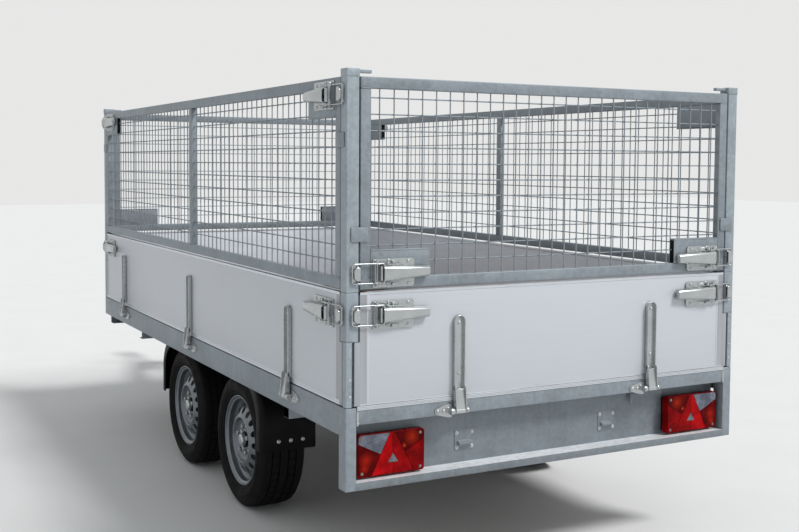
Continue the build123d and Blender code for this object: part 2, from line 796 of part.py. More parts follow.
def beam_plan(side, across, overrun):
    """Plan of one beam, straight under the bed, then in towards the coupling.

    across is half its width; overrun lengthens both ends.
    """
    mitre = across * (1 - cos(arm_angle)) / sin(arm_angle)
    tip_x = head_x + overrun
    tip_y = head_spread - arm_slope * overrun
    tip_across = across / cos(arm_angle)
    Polyline(
        (beam_rear_x - overrun, side * (beam_spread + across)),
        (bend_x + mitre, side * (beam_spread + across)),
        (tip_x, side * (tip_y + tip_across)),
        (tip_x, side * (tip_y - tip_across)),
        (bend_x - mitre, side * (beam_spread - across)),
        (beam_rear_x - overrun, side * (beam_spread - across)),
        close=True,
    )


for side, name in ((1, "left"), (-1, "right")):
    with BuildPart() as beam:
        with BuildSketch(Plane.XY.offset(beam_bottom)):
            with BuildLine():
                beam_plan(side, beam_width / 2, 0)
            make_face()
        extrude(amount=beam_height)
        with BuildSketch(Plane.XY.offset(beam_bottom + beam_wall)):
            with BuildLine():
                beam_plan(side, beam_width / 2 - beam_wall, 1)
            make_face()
        extrude(amount=beam_height - 2 * beam_wall, mode=Mode.SUBTRACT)
    save(beam, f"chassis_beam_{name}")

head_half = head_spread + beam_width / 2 / cos(arm_angle)
beam_top = beam_bottom + beam_height
with BuildPart() as drawbar_head:
    block((head_x - head_plate_length, head_x + nose_plate), around(0, 2 * head_half), (beam_top, beam_top + head_plate))
    block((head_x, head_x + nose_plate), around(0, 2 * head_half), (beam_bottom, beam_top))
save(drawbar_head, "drawbar_head")

# Overrun unit: round housing in a saddle on the head plate, with the arm that pulls the brake rod
bellows_start = head_x - overrun_rear + overrun_length
brake_arm_x = head_x - brake_arm_setback
with BuildPart() as overrun_unit:
    rod((bellows_start - overrun_length / 2, 0, overrun_z), overrun_length, overrun_radius, "x")
    block(
        around(head_x - head_plate_length / 2, saddle_length),
        around(0, saddle_width),
        (overrun_z - overrun_radius, overrun_z - saddle_flange / 2),
    )
    block(
        around(head_x - head_plate_length / 2, saddle_length),
        around(0, saddle_width + 4 * saddle_flange),
        (overrun_z - overrun_radius, overrun_z - overrun_radius + saddle_flange),
    )
    block(
        around(brake_arm_x, brake_arm_thickness),
        around(0, brake_arm_width),
        (beam_mid_z - brake_arm_width / 2, overrun_z),
    )
save(overrun_unit, "overrun_unit")

# The brake rod runs back to a lug on the front axle's tube.
lug_x = axle_xs[1] + arm_reach
with BuildPart() as brake_rod:
    rod_front = brake_arm_x - brake_arm_thickness / 2
    rod(((lug_x + rod_front) / 2, 0, beam_mid_z), rod_front - lug_x, brake_rod_radius, "x")
    block(around(lug_x, rod_lug_thickness), around(0, rod_lug_width), (beam_bottom, beam_mid_z + rod_lug_margin))
save(brake_rod, "brake_rod")

with BuildPart() as bellows:
    rib = bellows_length / bellows_ribs
    crest = [(bellows_start + (n + 0.5) * rib, bellows_radius) for n in range(bellows_ribs)]
    valley = [(bellows_start + n * rib, bellows_radius - bellows_depth) for n in range(bellows_ribs + 1)]
    profile = sorted(crest + valley)
    with BuildSketch(Plane.XZ):
        with BuildLine():
            Polyline((bellows_start, 0), *profile, (bellows_start + bellows_length, 0), close=True)
        make_face()
    revolve(axis=Axis.X)
    part_shift = Location((0, 0, overrun_z))
with BuildPart() as bellows_placed:
    add(part_shift * bellows.part)
save(bellows_placed, "bellows")

# Pressed coupling: rounded plan, ball socket from below, handle along its top
coupling_rear = bellows_start + bellows_length
with BuildPart() as coupling_head:
    with BuildSketch(Plane.XY.offset(coupling_low)):
        with Locations((coupling_rear + 1, 0)):
            Rectangle(2, coupling_rear_width)
        with Locations((coupling_x, 0)):
            Circle(coupling_nose)
        with Locations((nose_x - 2, 0)):
            Rectangle(4, coupling_nose)
        make_hull()
    extrude(amount=coupling_height)
    fillet(coupling_head.faces().sort_by(Axis.Z)[-1].edges(), coupling_round)
    block(
        (nose_x - handle_setback - coupling_handle, nose_x - handle_setback),
        around(0, coupling_handle_width),
        (coupling_low + coupling_height + coupling_handle_rise / 2, coupling_low + coupling_height + coupling_handle_rise),
    )
    block(
        (nose_x - handle_setback - coupling_handle_sheet, nose_x - handle_setback + coupling_handle_sheet),
        around(0, coupling_handle_width),
        (coupling_low + coupling_height - 1, coupling_low + coupling_height + coupling_handle_rise),
    )
    rod((coupling_x, 0, coupling_low + socket_depth - 0.5), 2 * socket_depth + 1, coupling_ball + ball_clearance,
        "z", Mode.SUBTRACT)
    with Locations((coupling_x, 0, coupling_low + 2 * socket_depth)):
        Sphere(coupling_ball + ball_clearance, mode=Mode.SUBTRACT)
save(coupling_head, "coupling_head")

lever_x = head_x - brake_lever_setback
lever_y = overrun_radius + brake_lever_gap
with BuildPart() as handbrake_lever:
    with BuildSketch(Plane.XZ.offset(-lever_y)):
        with Locations((lever_x, overrun_z)):
            Circle(brake_lever_width / 2)
        with Locations((lever_x - brake_lever_lean, overrun_z + brake_lever_length)):
            Circle(grip_radius - 3)
        make_hull()
    extrude(amount=-brake_lever_sheet)
    bolt_length = 2 * brake_lever_sheet
    rod((lever_x, lever_y + bolt_length / 2, overrun_z), bolt_length, brake_lever_width / 3, "y")
save(handbrake_lever, "handbrake_lever")

# ================================================================ axles
with BuildPart() as axle_tubes:
    for x in axle_xs:
        block(around(x + arm_reach, axle_tube), around(0, 2 * arm_inner), around(axle_z, axle_tube))
save(axle_tubes, "axle_tubes")

stub_end = track / 2 + hub_offset - drum_web - stub_end_gap
plate_y = track / 2 + hub_offset - drum_width - backplate_gap - backplate / 2
with BuildPart() as suspension_arms:
    for x in axle_xs:
        with BuildSketch(Plane.XZ.offset(-arm_inner)):
            with Locations((x, wheel_radius)):
                Circle(arm_eye)
            with Locations((x + arm_reach, axle_z)):
                Circle(arm_hub)
            make_hull()
        extrude(amount=-arm_thickness)
        rod((x, (arm_inner + stub_end) / 2, wheel_radius), stub_end - arm_inner, stub_radius, "y")
        rod((x, plate_y, wheel_radius), backplate, drum_radius, "y")
    mirror(about=Plane.XZ)
save(suspension_arms, "suspension_arms")

# ================================================================ wheels
# Each wheel is drawn round local z, outwards, with its centre plane at z = 0.
tyre_half = tyre_width / 2
# radius and half width down one side of the tyre, from the tread to the bead
tyre_profile = (
    (wheel_radius, tyre_half - tread_edge),
    (wheel_radius - tread_drop, tyre_half - tread_edge / 2),
    (wheel_radius - tyre_shoulder, tyre_half - tyre_shoulder),
    (wheel_radius - 3 * tyre_shoulder, tyre_half - tread_drop / 2),
    ((tyre_bead_radius + wheel_radius) / 2 - tread_drop, tyre_half),
    (rim_flange_radius + 2 * rim_flange_width, tyre_half - tyre_shoulder),
    (rim_flange_radius - rim_flange_width, rim_width / 2 - bead_inset / 2),
    (tyre_bead_radius, rim_width / 2 - bead_inset),
)
with BuildPart() as tyre_shape:
    with BuildSketch(Plane.XZ):
        with BuildLine():
            Polyline(*tyre_profile, *[(radius, -width) for radius, width in reversed(tyre_profile)], close=True)
        make_face()
    revolve(axis=Axis.Z)

# Rolled rim with a pressed disc: vents round its shoulder, raised ring, recess for the bolts
rim_half = rim_width / 2
seat = tyre_bead_radius - bead_clearance
seat_inner = rim_half - rim_flange_width * 2 - rim_seat_width
well = seat - rim_well_depth
well_half = rim_well_width / 2
crown_z = hub_offset + disc_sheet + disc_crown
with BuildPart() as rim_shape:
    with BuildSketch(Plane.XZ):
        with BuildLine():
            Polyline(
                (rim_flange_radius, -rim_half), (seat, 2 * rim_flange_width - rim_half), (seat, -seat_inner),
                (well, -well_half), (well, well_half), (seat, seat_inner),
                (seat, rim_half - 2 * rim_flange_width), (rim_flange_radius, rim_half),
                (rim_flange_radius - rim_flange_width, rim_half),
                (seat - rim_sheet, rim_half - 2.5 * rim_flange_width), (seat - rim_sheet, seat_inner - 2),
                (well - rim_sheet, well_half + 2), (vent_radius + 3, hub_offset + disc_sheet),
                (disc_crown_radius, crown_z), (disc_recess_radius + 8, crown_z + 2),
                (disc_recess_radius, hub_offset + disc_sheet), (hub_bore, hub_offset + disc_sheet),
                (hub_bore, hub_offset), (disc_recess_radius - 2, hub_offset),
                (disc_recess_radius + 6, crown_z - disc_sheet + 1), (disc_crown_radius - 2, crown_z - disc_sheet),
                (vent_radius, hub_offset), (well - rim_sheet, well_half - 3),
                (well - rim_sheet, -well_half - 2), (seat - rim_sheet, 2 - seat_inner),
                (seat - rim_sheet, 2.5 * rim_flange_width - rim_half),
                (rim_flange_radius - rim_flange_width, -rim_half),
                close=True,
            )
        make_face()
    revolve(axis=Axis.Z)
    with BuildSketch(Plane.XY.offset(well_half / 2)):
        with PolarLocations(vent_radius, vent_count):
            SlotOverall(vent_length, vent_width)
    extrude(amount=crown_z, mode=Mode.SUBTRACT)

drum_inner = hub_offset - drum_width
with BuildPart() as hub_shape:
    rod((0, 0, (drum_inner + hub_offset) / 2), drum_width, drum_radius, "z")
    hollow_middle = (drum_inner + hub_offset - drum_web) / 2
    rod((0, 0, hollow_middle), drum_width - drum_web, drum_radius - drum_wall, "z", Mode.SUBTRACT)
    boss_length = drum_width - hub_boss_inset
    rod((0, 0, hub_offset - boss_length / 2), boss_length, hub_boss_radius, "z")
    rod((0, 0, hub_offset + dust_cap_length / 2), dust_cap_length, dust_cap_radius, "z")
    fillet(hub_shape.faces().sort_by(Axis.Z)[-1].edges(), dust_cap_round)
    rod((0, 0, hollow_middle), drum_width - drum_web, stub_radius + bearing_clearance, "z", Mode.SUBTRACT)

for x, end in zip(axle_xs, ("rear", "front")):
    for side, hand in ((1, "left"), (-1, "right")):
        wheel_plane = Plane((x, side * track / 2, wheel_radius), x_dir=(-side, 0, 0), z_dir=(0, side, 0))
        for shape, kind in ((tyre_shape, "tyre"), (rim_shape, "rim"), (hub_shape, "hub")):
            with BuildPart() as placed:
                add(wheel_plane * shape.part)
            save(placed, f"{kind}_{end}_{hand}")


# ================================================================ mudguards
def guard_solid(reach, corner, outer_y, edge, inner_y):
    """Block round both wheels on the left side, with its outer edge rounded."""
    with BuildPart() as solid:
        with BuildSketch(Plane.XZ.offset(-inner_y)):
            with Locations((sum(axle_xs) / 2, wheel_radius)):
                RectangleRounded(wheelbase + 2 * reach, 2 * reach, corner)
        extrude(amount=inner_y - outer_y)
        if edge:
            fillet(solid.faces().sort_by(Axis.Y)[-1].edges(), edge)
    return solid


guard_shell = guard_solid(guard_radius + guard_sheet, guard_corner, guard_outer_y, guard_edge, guard_inner_y)
guard_core = guard_solid(
    guard_radius, guard_corner - guard_sheet, guard_outer_y - guard_sheet, guard_edge - guard_sheet, guard_inner_y - 1)
guard_window = guard_solid(guard_radius - guard_side, guard_corner - guard_side, guard_outer_y + 1, 0, guard_inner_y - 1)
with BuildPart() as mudguard_left:
    add(guard_shell.part)
    add(guard_core.part, mode=Mode.SUBTRACT)
    add(guard_window.part, mode=Mode.SUBTRACT)
    block(
        around(sum(axle_xs) / 2, wheelbase + 4 * guard_radius),
        (guard_inner_y - 1, guard_outer_y + 1),
        (-guard_radius, guard_foot),
        Mode.SUBTRACT,
    )
save(mudguard_left, "mudguard_left")

with BuildPart() as mudguard_right:
    add(mirror(mudguard_left.part, about=Plane.XZ, mode=Mode.PRIVATE))
save(mudguard_right, "mudguard_right")

# ================================================================ lamps
lamp_y = rail_half - lamp_side_gap - lamp_width / 2
lamp_z = bed_height - lamp_drop - lamp_height / 2
lens_x = rear_x + lamp_setback
with BuildPart() as tail_lamps:
    with BuildSketch(Plane.YZ.offset(lens_x)):
        with Locations((lamp_y, lamp_z)):
            RectangleRounded(lamp_width, lamp_height, lamp_corner)
    extrude(amount=lens_depth)
    fillet(tail_lamps.faces().sort_by(Axis.X)[0].edges(), lamp_corner / 3)
    with BuildSketch(Plane.YZ.offset(lens_x + lens_depth)):
        with Locations((lamp_y, lamp_z)):
            RectangleRounded(lamp_width - 2 * lamp_base_inset, lamp_height - 2 * lamp_base_inset, lamp_corner)
    extrude(amount=face_x - lens_x - lens_depth)
    mirror(about=Plane.XZ)
save(tail_lamps, "tail_lamps")

# ================================================================ jockey wheel
jockey_x = front_x + jockey_along
beam_face_y = beam_spread - arm_slope * (jockey_x - bend_x) + beam_width / 2 / cos(arm_angle)
jockey_y = -(beam_face_y + jockey_standoff / cos(arm_angle))
clamp_plane = Plane((jockey_x, jockey_y, beam_mid_z), x_dir=(cos(arm_angle), sin(arm_angle), 0), z_dir=(0, 0, 1))
with BuildPart() as jockey_clamp:
    with BuildSketch(clamp_plane.offset(-clamp_height / 2)):
        Circle(jockey_tube + clamp_wall)
        with Locations((0, jockey_standoff / 2)):
            Rectangle(clamp_pad, jockey_standoff)
        Circle(jockey_tube + jockey_clearance, mode=Mode.SUBTRACT)
    extrude(amount=clamp_height)
save(jockey_clamp, "jockey_clamp")

crank_z = jockey_top + crank_rise - crank_bar / 2
with BuildPart() as jockey_leg:
    rod((jockey_x, jockey_y, (jockey_foot + jockey_top) / 2), jockey_top - jockey_foot, jockey_tube, "z")
    fillet(jockey_leg.faces().sort_by(Axis.Z)[-1].edges(), jockey_tube / 4)
    rod((jockey_x, jockey_y, jockey_top + crank_rise / 2), crank_rise, crank_spindle, "z")
    with BuildSketch(Plane.XY.offset(crank_z - crank_bar / 2)):
        with Locations((jockey_x, jockey_y)):
            Circle(crank_width)
        with Locations((jockey_x - crank_throw, jockey_y)):
            Circle(crank_width / 2)
        make_hull()
    extrude(amount=crank_bar)
    rod((jockey_x - crank_throw, jockey_y, crank_z + crank_grip / 2), crank_grip, crank_spindle, "z")
save(jockey_leg, "jockey_leg")

wheel_x = jockey_x - jockey_trail
crown_top = jockey_foot - fork_crown_gap
fork_inner = jockey_width / 2 + jockey_fork_gap
with BuildPart() as jockey_fork:
    block(
        (wheel_x - fork_eye - fork_sheet, jockey_x + fork_stem + fork_sheet),
        around(jockey_y, 2 * (fork_inner + fork_sheet)),
        (crown_top - fork_sheet, crown_top),
    )
    stem_top = jockey_foot - jockey_clearance
    rod((jockey_x, jockey_y, (crown_top + stem_top) / 2), stem_top - crown_top, fork_stem, "z")
    for side in (1, -1):
        with BuildSketch(Plane.XZ.offset(-(jockey_y + side * (fork_inner + fork_sheet / 2)))):
            with Locations((wheel_x, jockey_radius)):
                Circle(fork_eye)
            with Locations(((wheel_x - fork_eye + jockey_x + fork_stem) / 2, crown_top - fork_sheet / 2)):
                Rectangle(jockey_trail + fork_eye + fork_stem, fork_sheet)
            make_hull()
        extrude(amount=fork_sheet / 2, both=True)
    rod((wheel_x, jockey_y, jockey_radius), 2 * fork_inner + 4 * fork_sheet, fork_pin, "y")
save(jockey_fork, "jockey_fork")

# Solid-tyred wheel, drawn round local z: rounded tread, dished sides, hub as wide as the tyre
half = jockey_width / 2
web = half - jockey_dish
# radius and half width down one side of the wheel, from the tread to the hub's bore
jockey_profile = (
    (jockey_radius, half - jockey_tyre_round),
    (jockey_radius - jockey_tyre_round / 3, half - jockey_tyre_round / 3),
    (jockey_radius - jockey_tyre_round, half),
    (jockey_rim_radius, half),
    (jockey_rim_radius - jockey_dish / 3, web),
    (jockey_hub_radius, web),
    (jockey_hub_radius, half),
    (fork_pin + jockey_clearance, half),
)
with BuildPart() as jockey_wheel_shape:
    with BuildSketch(Plane.XZ):
        with BuildLine():
            Polyline(*jockey_profile, *[(radius, -width) for radius, width in reversed(jockey_profile)], close=True)
        make_face()
    revolve(axis=Axis.Z)
with BuildPart() as jockey_wheel:
    add(Plane((wheel_x, jockey_y, jockey_radius), x_dir=(1, 0, 0), z_dir=(0, -1, 0)) * jockey_wheel_shape.part)
save(jockey_wheel, "jockey_wheel")
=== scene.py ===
import json
import math
from collections import namedtuple
from contextlib import contextmanager
from functools import partial

import bpy
from mathutils import Matrix, Vector


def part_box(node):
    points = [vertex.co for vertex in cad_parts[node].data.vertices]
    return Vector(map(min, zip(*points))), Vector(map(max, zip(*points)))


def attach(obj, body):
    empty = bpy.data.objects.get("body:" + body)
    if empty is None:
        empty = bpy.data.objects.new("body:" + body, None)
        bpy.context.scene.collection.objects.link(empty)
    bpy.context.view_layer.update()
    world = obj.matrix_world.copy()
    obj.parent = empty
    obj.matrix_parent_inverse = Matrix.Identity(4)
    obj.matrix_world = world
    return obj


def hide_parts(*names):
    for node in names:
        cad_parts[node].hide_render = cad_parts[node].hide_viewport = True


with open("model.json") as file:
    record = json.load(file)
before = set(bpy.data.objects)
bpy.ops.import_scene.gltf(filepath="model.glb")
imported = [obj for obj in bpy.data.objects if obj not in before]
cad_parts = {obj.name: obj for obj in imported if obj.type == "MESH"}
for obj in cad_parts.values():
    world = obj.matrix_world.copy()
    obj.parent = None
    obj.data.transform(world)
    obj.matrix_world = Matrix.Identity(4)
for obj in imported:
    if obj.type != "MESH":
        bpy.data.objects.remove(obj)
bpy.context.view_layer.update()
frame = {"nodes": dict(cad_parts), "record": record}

bl_info = {
    "name": "Caged Tandem Trailer",
    "version": (1, 0, 0),
    "blender": (4, 5, 0),
    "location": "3D Viewport > Sidebar > Trailer",
    "description": "Finishes a tandem-axle trailer with drop boards and a mesh cage on its CAD frame",
    "category": "Add Mesh",
}

# ------------------------------------------------------------------ places read from the frame
BED_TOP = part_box("floor")[1].z
REAR_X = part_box("rear_legs")[0].x
FRONT_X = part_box("front_beam")[1].x
HALF_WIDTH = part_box("side_rails")[1].y
MIDDLE_X = (REAR_X + FRONT_X) / 2
BOARD_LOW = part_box("rear_board")[0].z - BED_TOP
BOARD_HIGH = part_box("rear_board")[1].z - BED_TOP
BOARD_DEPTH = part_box("rear_board")[1].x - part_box("rear_board")[0].x
MESH_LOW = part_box("rear_mesh")[0].z - BED_TOP
MESH_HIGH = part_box("rear_mesh")[1].z - BED_TOP
MESH_DEPTH = 0.025
SIDE_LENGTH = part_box("left_board")[1].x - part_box("left_board")[0].x
END_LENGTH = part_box("rear_board")[1].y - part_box("rear_board")[0].y
POST = 0.042
POST_GAP = 0.005
SIDE_STRAPS = (-1.097, 0, 1.097)
END_STRAPS = (-0.395, 0.395)

# A wall's direction seen from outside, its way outwards, its origin on its outer face at the bed's top,
# its length, its straps' places, whether its mesh frame drops from the foot, and the side of the straps
# that its hinge brackets are bolted on
Wall = namedtuple("Wall", "along outwards origin length straps drops bracket_side")
WALLS = {
    "left": Wall(
        (-1, 0, 0), (0, 1, 0), (MIDDLE_X, HALF_WIDTH, BED_TOP), SIDE_LENGTH, SIDE_STRAPS, True, 1),
    "right": Wall(
        (1, 0, 0), (0, -1, 0), (MIDDLE_X, -HALF_WIDTH, BED_TOP), SIDE_LENGTH, SIDE_STRAPS, True, -1),
    "rear": Wall((0, -1, 0), (-1, 0, 0), (REAR_X, 0, BED_TOP), END_LENGTH, END_STRAPS, False, -1),
    "front": Wall((0, 1, 0), (1, 0, 0), (FRONT_X, 0, BED_TOP), END_LENGTH, END_STRAPS, False, -1),
}
X, Z = 0, 2                  # axes of a direction
STRAIGHT = 0.9               # a direction is along an axis when at least this much of it is
UP = Vector((0, 0, 1))


def wall_matrix(name):
    """Matrix from a wall's own coordinates, x along, y up and z outwards, to the trailer's."""
    wall = WALLS[name]
    matrix = Matrix((Vector(wall.along), UP, Vector(wall.outwards))).transposed().to_4x4()
    matrix.translation = wall.origin
    return matrix


# Camera: place, turn as heading, pitch and roll in degrees, focal length and frame shift
CAMERA_PLACE = (-5.144, 2.197, 1.360)
CAMERA_TURN = (-28.248, -3.319, 0.374)
SENSOR = 36
FOCAL = 1092.1 / 799 * SENSOR
SHIFT_Y = (226.6 - 266) / 799


# ------------------------------------------------------------------ sizes and colours to change
def measure(name, description, default):
    """Property that holds a length."""
    return bpy.props.FloatProperty(name=name, description=description, default=default, unit="LENGTH")


def paint(name, description, default):
    """Property that holds a colour."""
    return bpy.props.FloatVectorProperty(
        name=name, description=description, default=default, subtype="COLOR", min=0, max=1)


class TrailerSizes(bpy.types.PropertyGroup):
    """Sizes of the fine details that the steelwork carries."""

    wire: measure("Wire", "Diameter of the mesh wires", 0.0042)
    wire_pitch: measure("Wire pitch", "Spacing of the mesh wires", 0.05)
    bolt: measure("Bolt", "Radius of the domed bolt heads", 0.0085)
    tread_groove: measure("Tread groove", "Depth of the tyre grooves", 0.007)


class TrailerColours(bpy.types.PropertyGroup):
    """Base colours of the trailer's finishes."""

    galvanised: paint("Galvanised steel", "Hot-dip galvanised frame, posts and mesh", (0.255, 0.292, 0.320))
    zinc: paint("Zinc plate", "Bright plated latches and straps", (0.45, 0.47, 0.475))
    board: paint("Boards", "Coated aluminium drop boards", (0.54, 0.565, 0.605))
    plywood: paint("Plywood", "Film-faced plywood floor", (0.11, 0.065, 0.04))
    tyre: paint("Tyres", "Tyre rubber", (0.006, 0.006, 0.0062))
    wheel: paint("Wheels", "Silver wheel paint", (0.16, 0.1776, 0.196))
    plastic: paint("Mudguards", "Black moulded plastic", (0.0035, 0.0035, 0.0038))
    lens: paint("Lenses", "Red lamp lenses", (0.36, 0.002, 0.004))


def sizes():
    return bpy.context.scene.trailer_sizes


def colours():
    return bpy.context.scene.trailer_colours


# ------------------------------------------------------------------ modelling by hand, in code
def clear():
    """Leave edit mode and deselect everything."""
    if bpy.context.object and bpy.context.object.mode != "OBJECT":
        bpy.ops.object.mode_set(mode="OBJECT")
    bpy.ops.object.select_all(action="DESELECT")


def only(piece):
    """Select one piece and make it active."""
    clear()
    piece.select_set(True)
    bpy.context.view_layer.objects.active = piece


def settle(piece):
    """Put a piece's place, turn and size in its mesh."""
    only(piece)
    bpy.ops.object.transform_apply(location=True, rotation=True, scale=True)
    return piece


def block(low, high):
    """Box between two corners, in any order."""
    low, high = Vector(low), Vector(high)
    clear()
    bpy.ops.mesh.primitive_cube_add(size=1, location=(low + high) / 2)
    piece = bpy.context.object
    piece.scale = [abs(value) for value in high - low]
    return settle(piece)


def slab(low, high, width, segments=2):
    """Box between two corners with rounded edges."""
    return soften(block(low, high), width, segments)


def rod(start, end, radius, sides=12):
    """Round bar between two points."""
    start, end = Vector(start), Vector(end)
    clear()
    turn = (end - start).to_track_quat("Z", "Y").to_euler()
    bpy.ops.mesh.primitive_cylinder_add(
        vertices=sides, radius=radius, depth=(end - start).length, location=(start + end) / 2, rotation=turn)
    return settle(bpy.context.object)


@contextmanager
def editing(piece, pick=None, kind="FACE"):
    """Edit mode with the parts of the mesh selected whose middle and normal or direction pick accepts."""
    only(piece)
    mesh = piece.data
    bpy.context.tool_settings.mesh_select_mode = [kind == name for name in ("VERT", "EDGE", "FACE")]
    for group in (mesh.vertices, mesh.edges, mesh.polygons):
        group.foreach_set("select", [False] * len(group))
    if kind == "FACE":
        found = [(face, face.center, face.normal) for face in mesh.polygons]
    elif kind == "EDGE":
        ends = [[mesh.vertices[index].co for index in edge.vertices] for edge in mesh.edges]
        found = [(edge, (a + b) / 2, (b - a).normalized()) for edge, (a, b) in zip(mesh.edges, ends)]
    else:
        found = [(vertex, vertex.co, vertex.normal) for vertex in mesh.vertices]
    for part, middle, direction in found:
        part.select = pick is None or bool(pick(middle, direction))
    bpy.ops.object.mode_set(mode="EDIT")
    yield
    bpy.ops.object.mode_set(mode="OBJECT")


def looks(axis, way=1):
    """Picks the faces that look along an axis, or against it."""
    return lambda middle, normal: way * normal[axis] > STRAIGHT


def runs(axis, where=lambda middle: True):
    """Picks the edges along an axis whose middle is in the right place."""
    return lambda middle, direction: abs(direction[axis]) > STRAIGHT and where(middle)


def round_edges(piece, pick, width, segments=4):
    """Round the edges that pick accepts by their middle and direction."""
    with editing(piece, pick, "EDGE"):
        bpy.ops.mesh.bevel(offset=width, segments=segments, affect="EDGES", clamp_overlap=True)
    return piece


def shift(piece, where, step):
    """Move the corners that are in the right place by a step."""
    with editing(piece, lambda place, normal: where(place), "VERT"):
        bpy.ops.transform.translate(value=step)
    return piece


def resize(piece, pick, value, centre, kind="FACE"):
    """Resize about a centre what pick accepts."""
    with editing(piece, pick, kind):
        bpy.ops.transform.resize(value=value, center_override=centre)
    return piece


def press(piece, pick, margin, step):
    """Move faces by a step within a margin, which slopes to them."""
    with editing(piece, pick):
        bpy.ops.mesh.inset(thickness=margin, depth=0)
        bpy.ops.transform.translate(value=step)
    return piece


def sink(piece, pick, margin, step):
    """Move faces by a step within a margin, with walls round them."""
    with editing(piece, pick):
        bpy.ops.mesh.inset(thickness=margin, depth=0)
        bpy.ops.mesh.extrude_region_move(TRANSFORM_OT_translate={"value": step})
    return piece


def modified(piece, kind, **values):
    """Give a piece a modifier with these values and apply it."""
    only(piece)
    modifier = piece.modifiers.new(kind.title(), kind)
    for name, value in values.items():
        setattr(modifier, name, value)
    bpy.ops.object.modifier_apply(modifier=modifier.name)
    return piece


def soften(piece, width, segments=2, angle=35):
    """Round every edge of a piece that is sharper than an angle in degrees."""
    return modified(
        piece, "BEVEL", width=width, segments=segments, limit_method="ANGLE", angle_limit=math.radians(angle))


def rows(piece, count, step):
    """Repeat a piece along a step."""
    return modified(piece, "ARRAY", count=count, use_relative_offset=False, use_constant_offset=True,
                    constant_offset_displace=step)


def cut(piece, cutter):
    """Cut a piece with another one and drop the cutter."""
    modified(piece, "BOOLEAN", operation="DIFFERENCE", solver="EXACT", object=cutter)
    discard(cutter)
    return piece


def outwards(piece):
    """Merge doubles and turn every face outwards."""
    with editing(piece):
        bpy.ops.mesh.remove_doubles(threshold=0.00001)
        bpy.ops.mesh.normals_make_consistent(inside=False)
    return piece


def turned(profile, segments=32, closed=False):
    """Turn a profile of (radius, height) rings round z: a solid from a filled circle, or a closed ring."""
    clear()
    radius, height = profile[0]
    bpy.ops.mesh.primitive_circle_add(
        vertices=segments, radius=radius, fill_type="NOTHING" if closed else "NGON", location=(0, 0, height))
    piece = settle(bpy.context.object)
    bpy.context.tool_settings.mesh_select_mode = (False, closed, not closed)
    extrude = bpy.ops.mesh.extrude_edges_move if closed else bpy.ops.mesh.extrude_region_move
    bpy.ops.object.mode_set(mode="EDIT")
    bpy.ops.mesh.select_all(action="SELECT")
    for ring_radius, ring_height in list(profile[1:]) + [profile[0]] * closed:
        extrude(TRANSFORM_OT_translate={"value": (0, 0, ring_height - height)})
        factor = ring_radius / radius
        bpy.ops.transform.resize(value=(factor, factor, 1), center_override=(0, 0, ring_height))
        radius, height = ring_radius, ring_height
    bpy.ops.object.mode_set(mode="OBJECT")
    return outwards(piece)


def sheet_ring(line, thickness, segments):
    """Sheet turned round z: its seen surface as (radius, height), its back a thickness behind."""
    back = []
    for index, (radius, height) in enumerate(line):
        before, after = line[max(index - 1, 0)], line[min(index + 1, len(line) - 1)]
        along = Vector((after[0] - before[0], after[1] - before[1])).normalized()
        back.append((radius - along.y * thickness, height + along.x * thickness))
    return turned(list(line) + back[::-1], segments, closed=True)


def plate(points, low, high):
    """Flat plate with corners at the given places, between two heights."""
    clear()
    bpy.ops.mesh.primitive_circle_add(vertices=len(points), radius=10, fill_type="NGON", location=(0, 0, low))
    piece = settle(bpy.context.object)
    corners = [vertex.co.copy() for vertex in piece.data.vertices]
    for corner, point in zip(corners, points):
        shift(piece, lambda place: (place - corner).length < 0.001, Vector((*point, low)) - corner)
    with editing(piece):
        bpy.ops.mesh.extrude_region_move(TRANSFORM_OT_translate={"value": (0, 0, high - low)})
    return outwards(piece)


def joined(pieces, name=None):
    """Join pieces into the first one."""
    clear()
    for piece in pieces:
        piece.select_set(True)
    bpy.context.view_layer.objects.active = pieces[0]
    if len(pieces) > 1:
        bpy.ops.object.join()
    if name:
        pieces[0].name = name
        pieces[0].data.name = name
    return pieces[0]


def placed(piece, matrix):
    """Copy a piece, with a mesh of its own, to the place a matrix gives."""
    copy = piece.copy()
    copy.data = piece.data.copy()
    bpy.context.collection.objects.link(copy)
    copy.matrix_world = matrix
    settle(copy)
    if matrix.determinant() < 0:
        with editing(copy):
            bpy.ops.mesh.flip_normals()
    return copy


def circled(pattern, count, radius, height=0.0, start=0.0):
    """Even copies of a pattern round z, the first one turned by this part of a step."""
    turns = [Matrix.Rotation(math.tau * (index + start) / count, 4, "Z") for index in range(count)]
    return [placed(pattern, turn @ Matrix.Translation((radius, 0, height))) for turn in turns]


def facing(point, direction=UP):
    """Matrix that stands a piece made on z = 0 on a point, with z along a direction."""
    matrix = Vector(direction).to_track_quat("Z", "Y").to_matrix().to_4x4()
    matrix.translation = Vector(point)
    return matrix


def discard(*pieces):
    for piece in pieces:
        bpy.data.objects.remove(piece, do_unlink=True)


def painted(piece, *materials):
    """Give a piece its materials, the first on every face."""
    piece.data.materials.clear()
    for item in materials:
        piece.data.materials.append(item)
    return piece


def paint_faces(piece, slot, pick):
    """Give the faces that pick accepts the material in one of the piece's slots."""
    for face in piece.data.polygons:
        if pick(face.center, face.normal):
            face.material_index = slot


def finish(piece, body, slot, replaced=(), angle=40):
    """Smooth a finished piece up to an angle in degrees and hang it on the body that carries it."""
    only(piece)
    bpy.ops.object.shade_smooth_by_angle(angle=math.radians(angle))
    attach(piece, body)
    if replaced:
        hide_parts(*replaced)
    return piece


def mm(*points):
    """Points given in millimetres, in metres."""
    return [tuple(value / 1000 for value in point) for point in points]


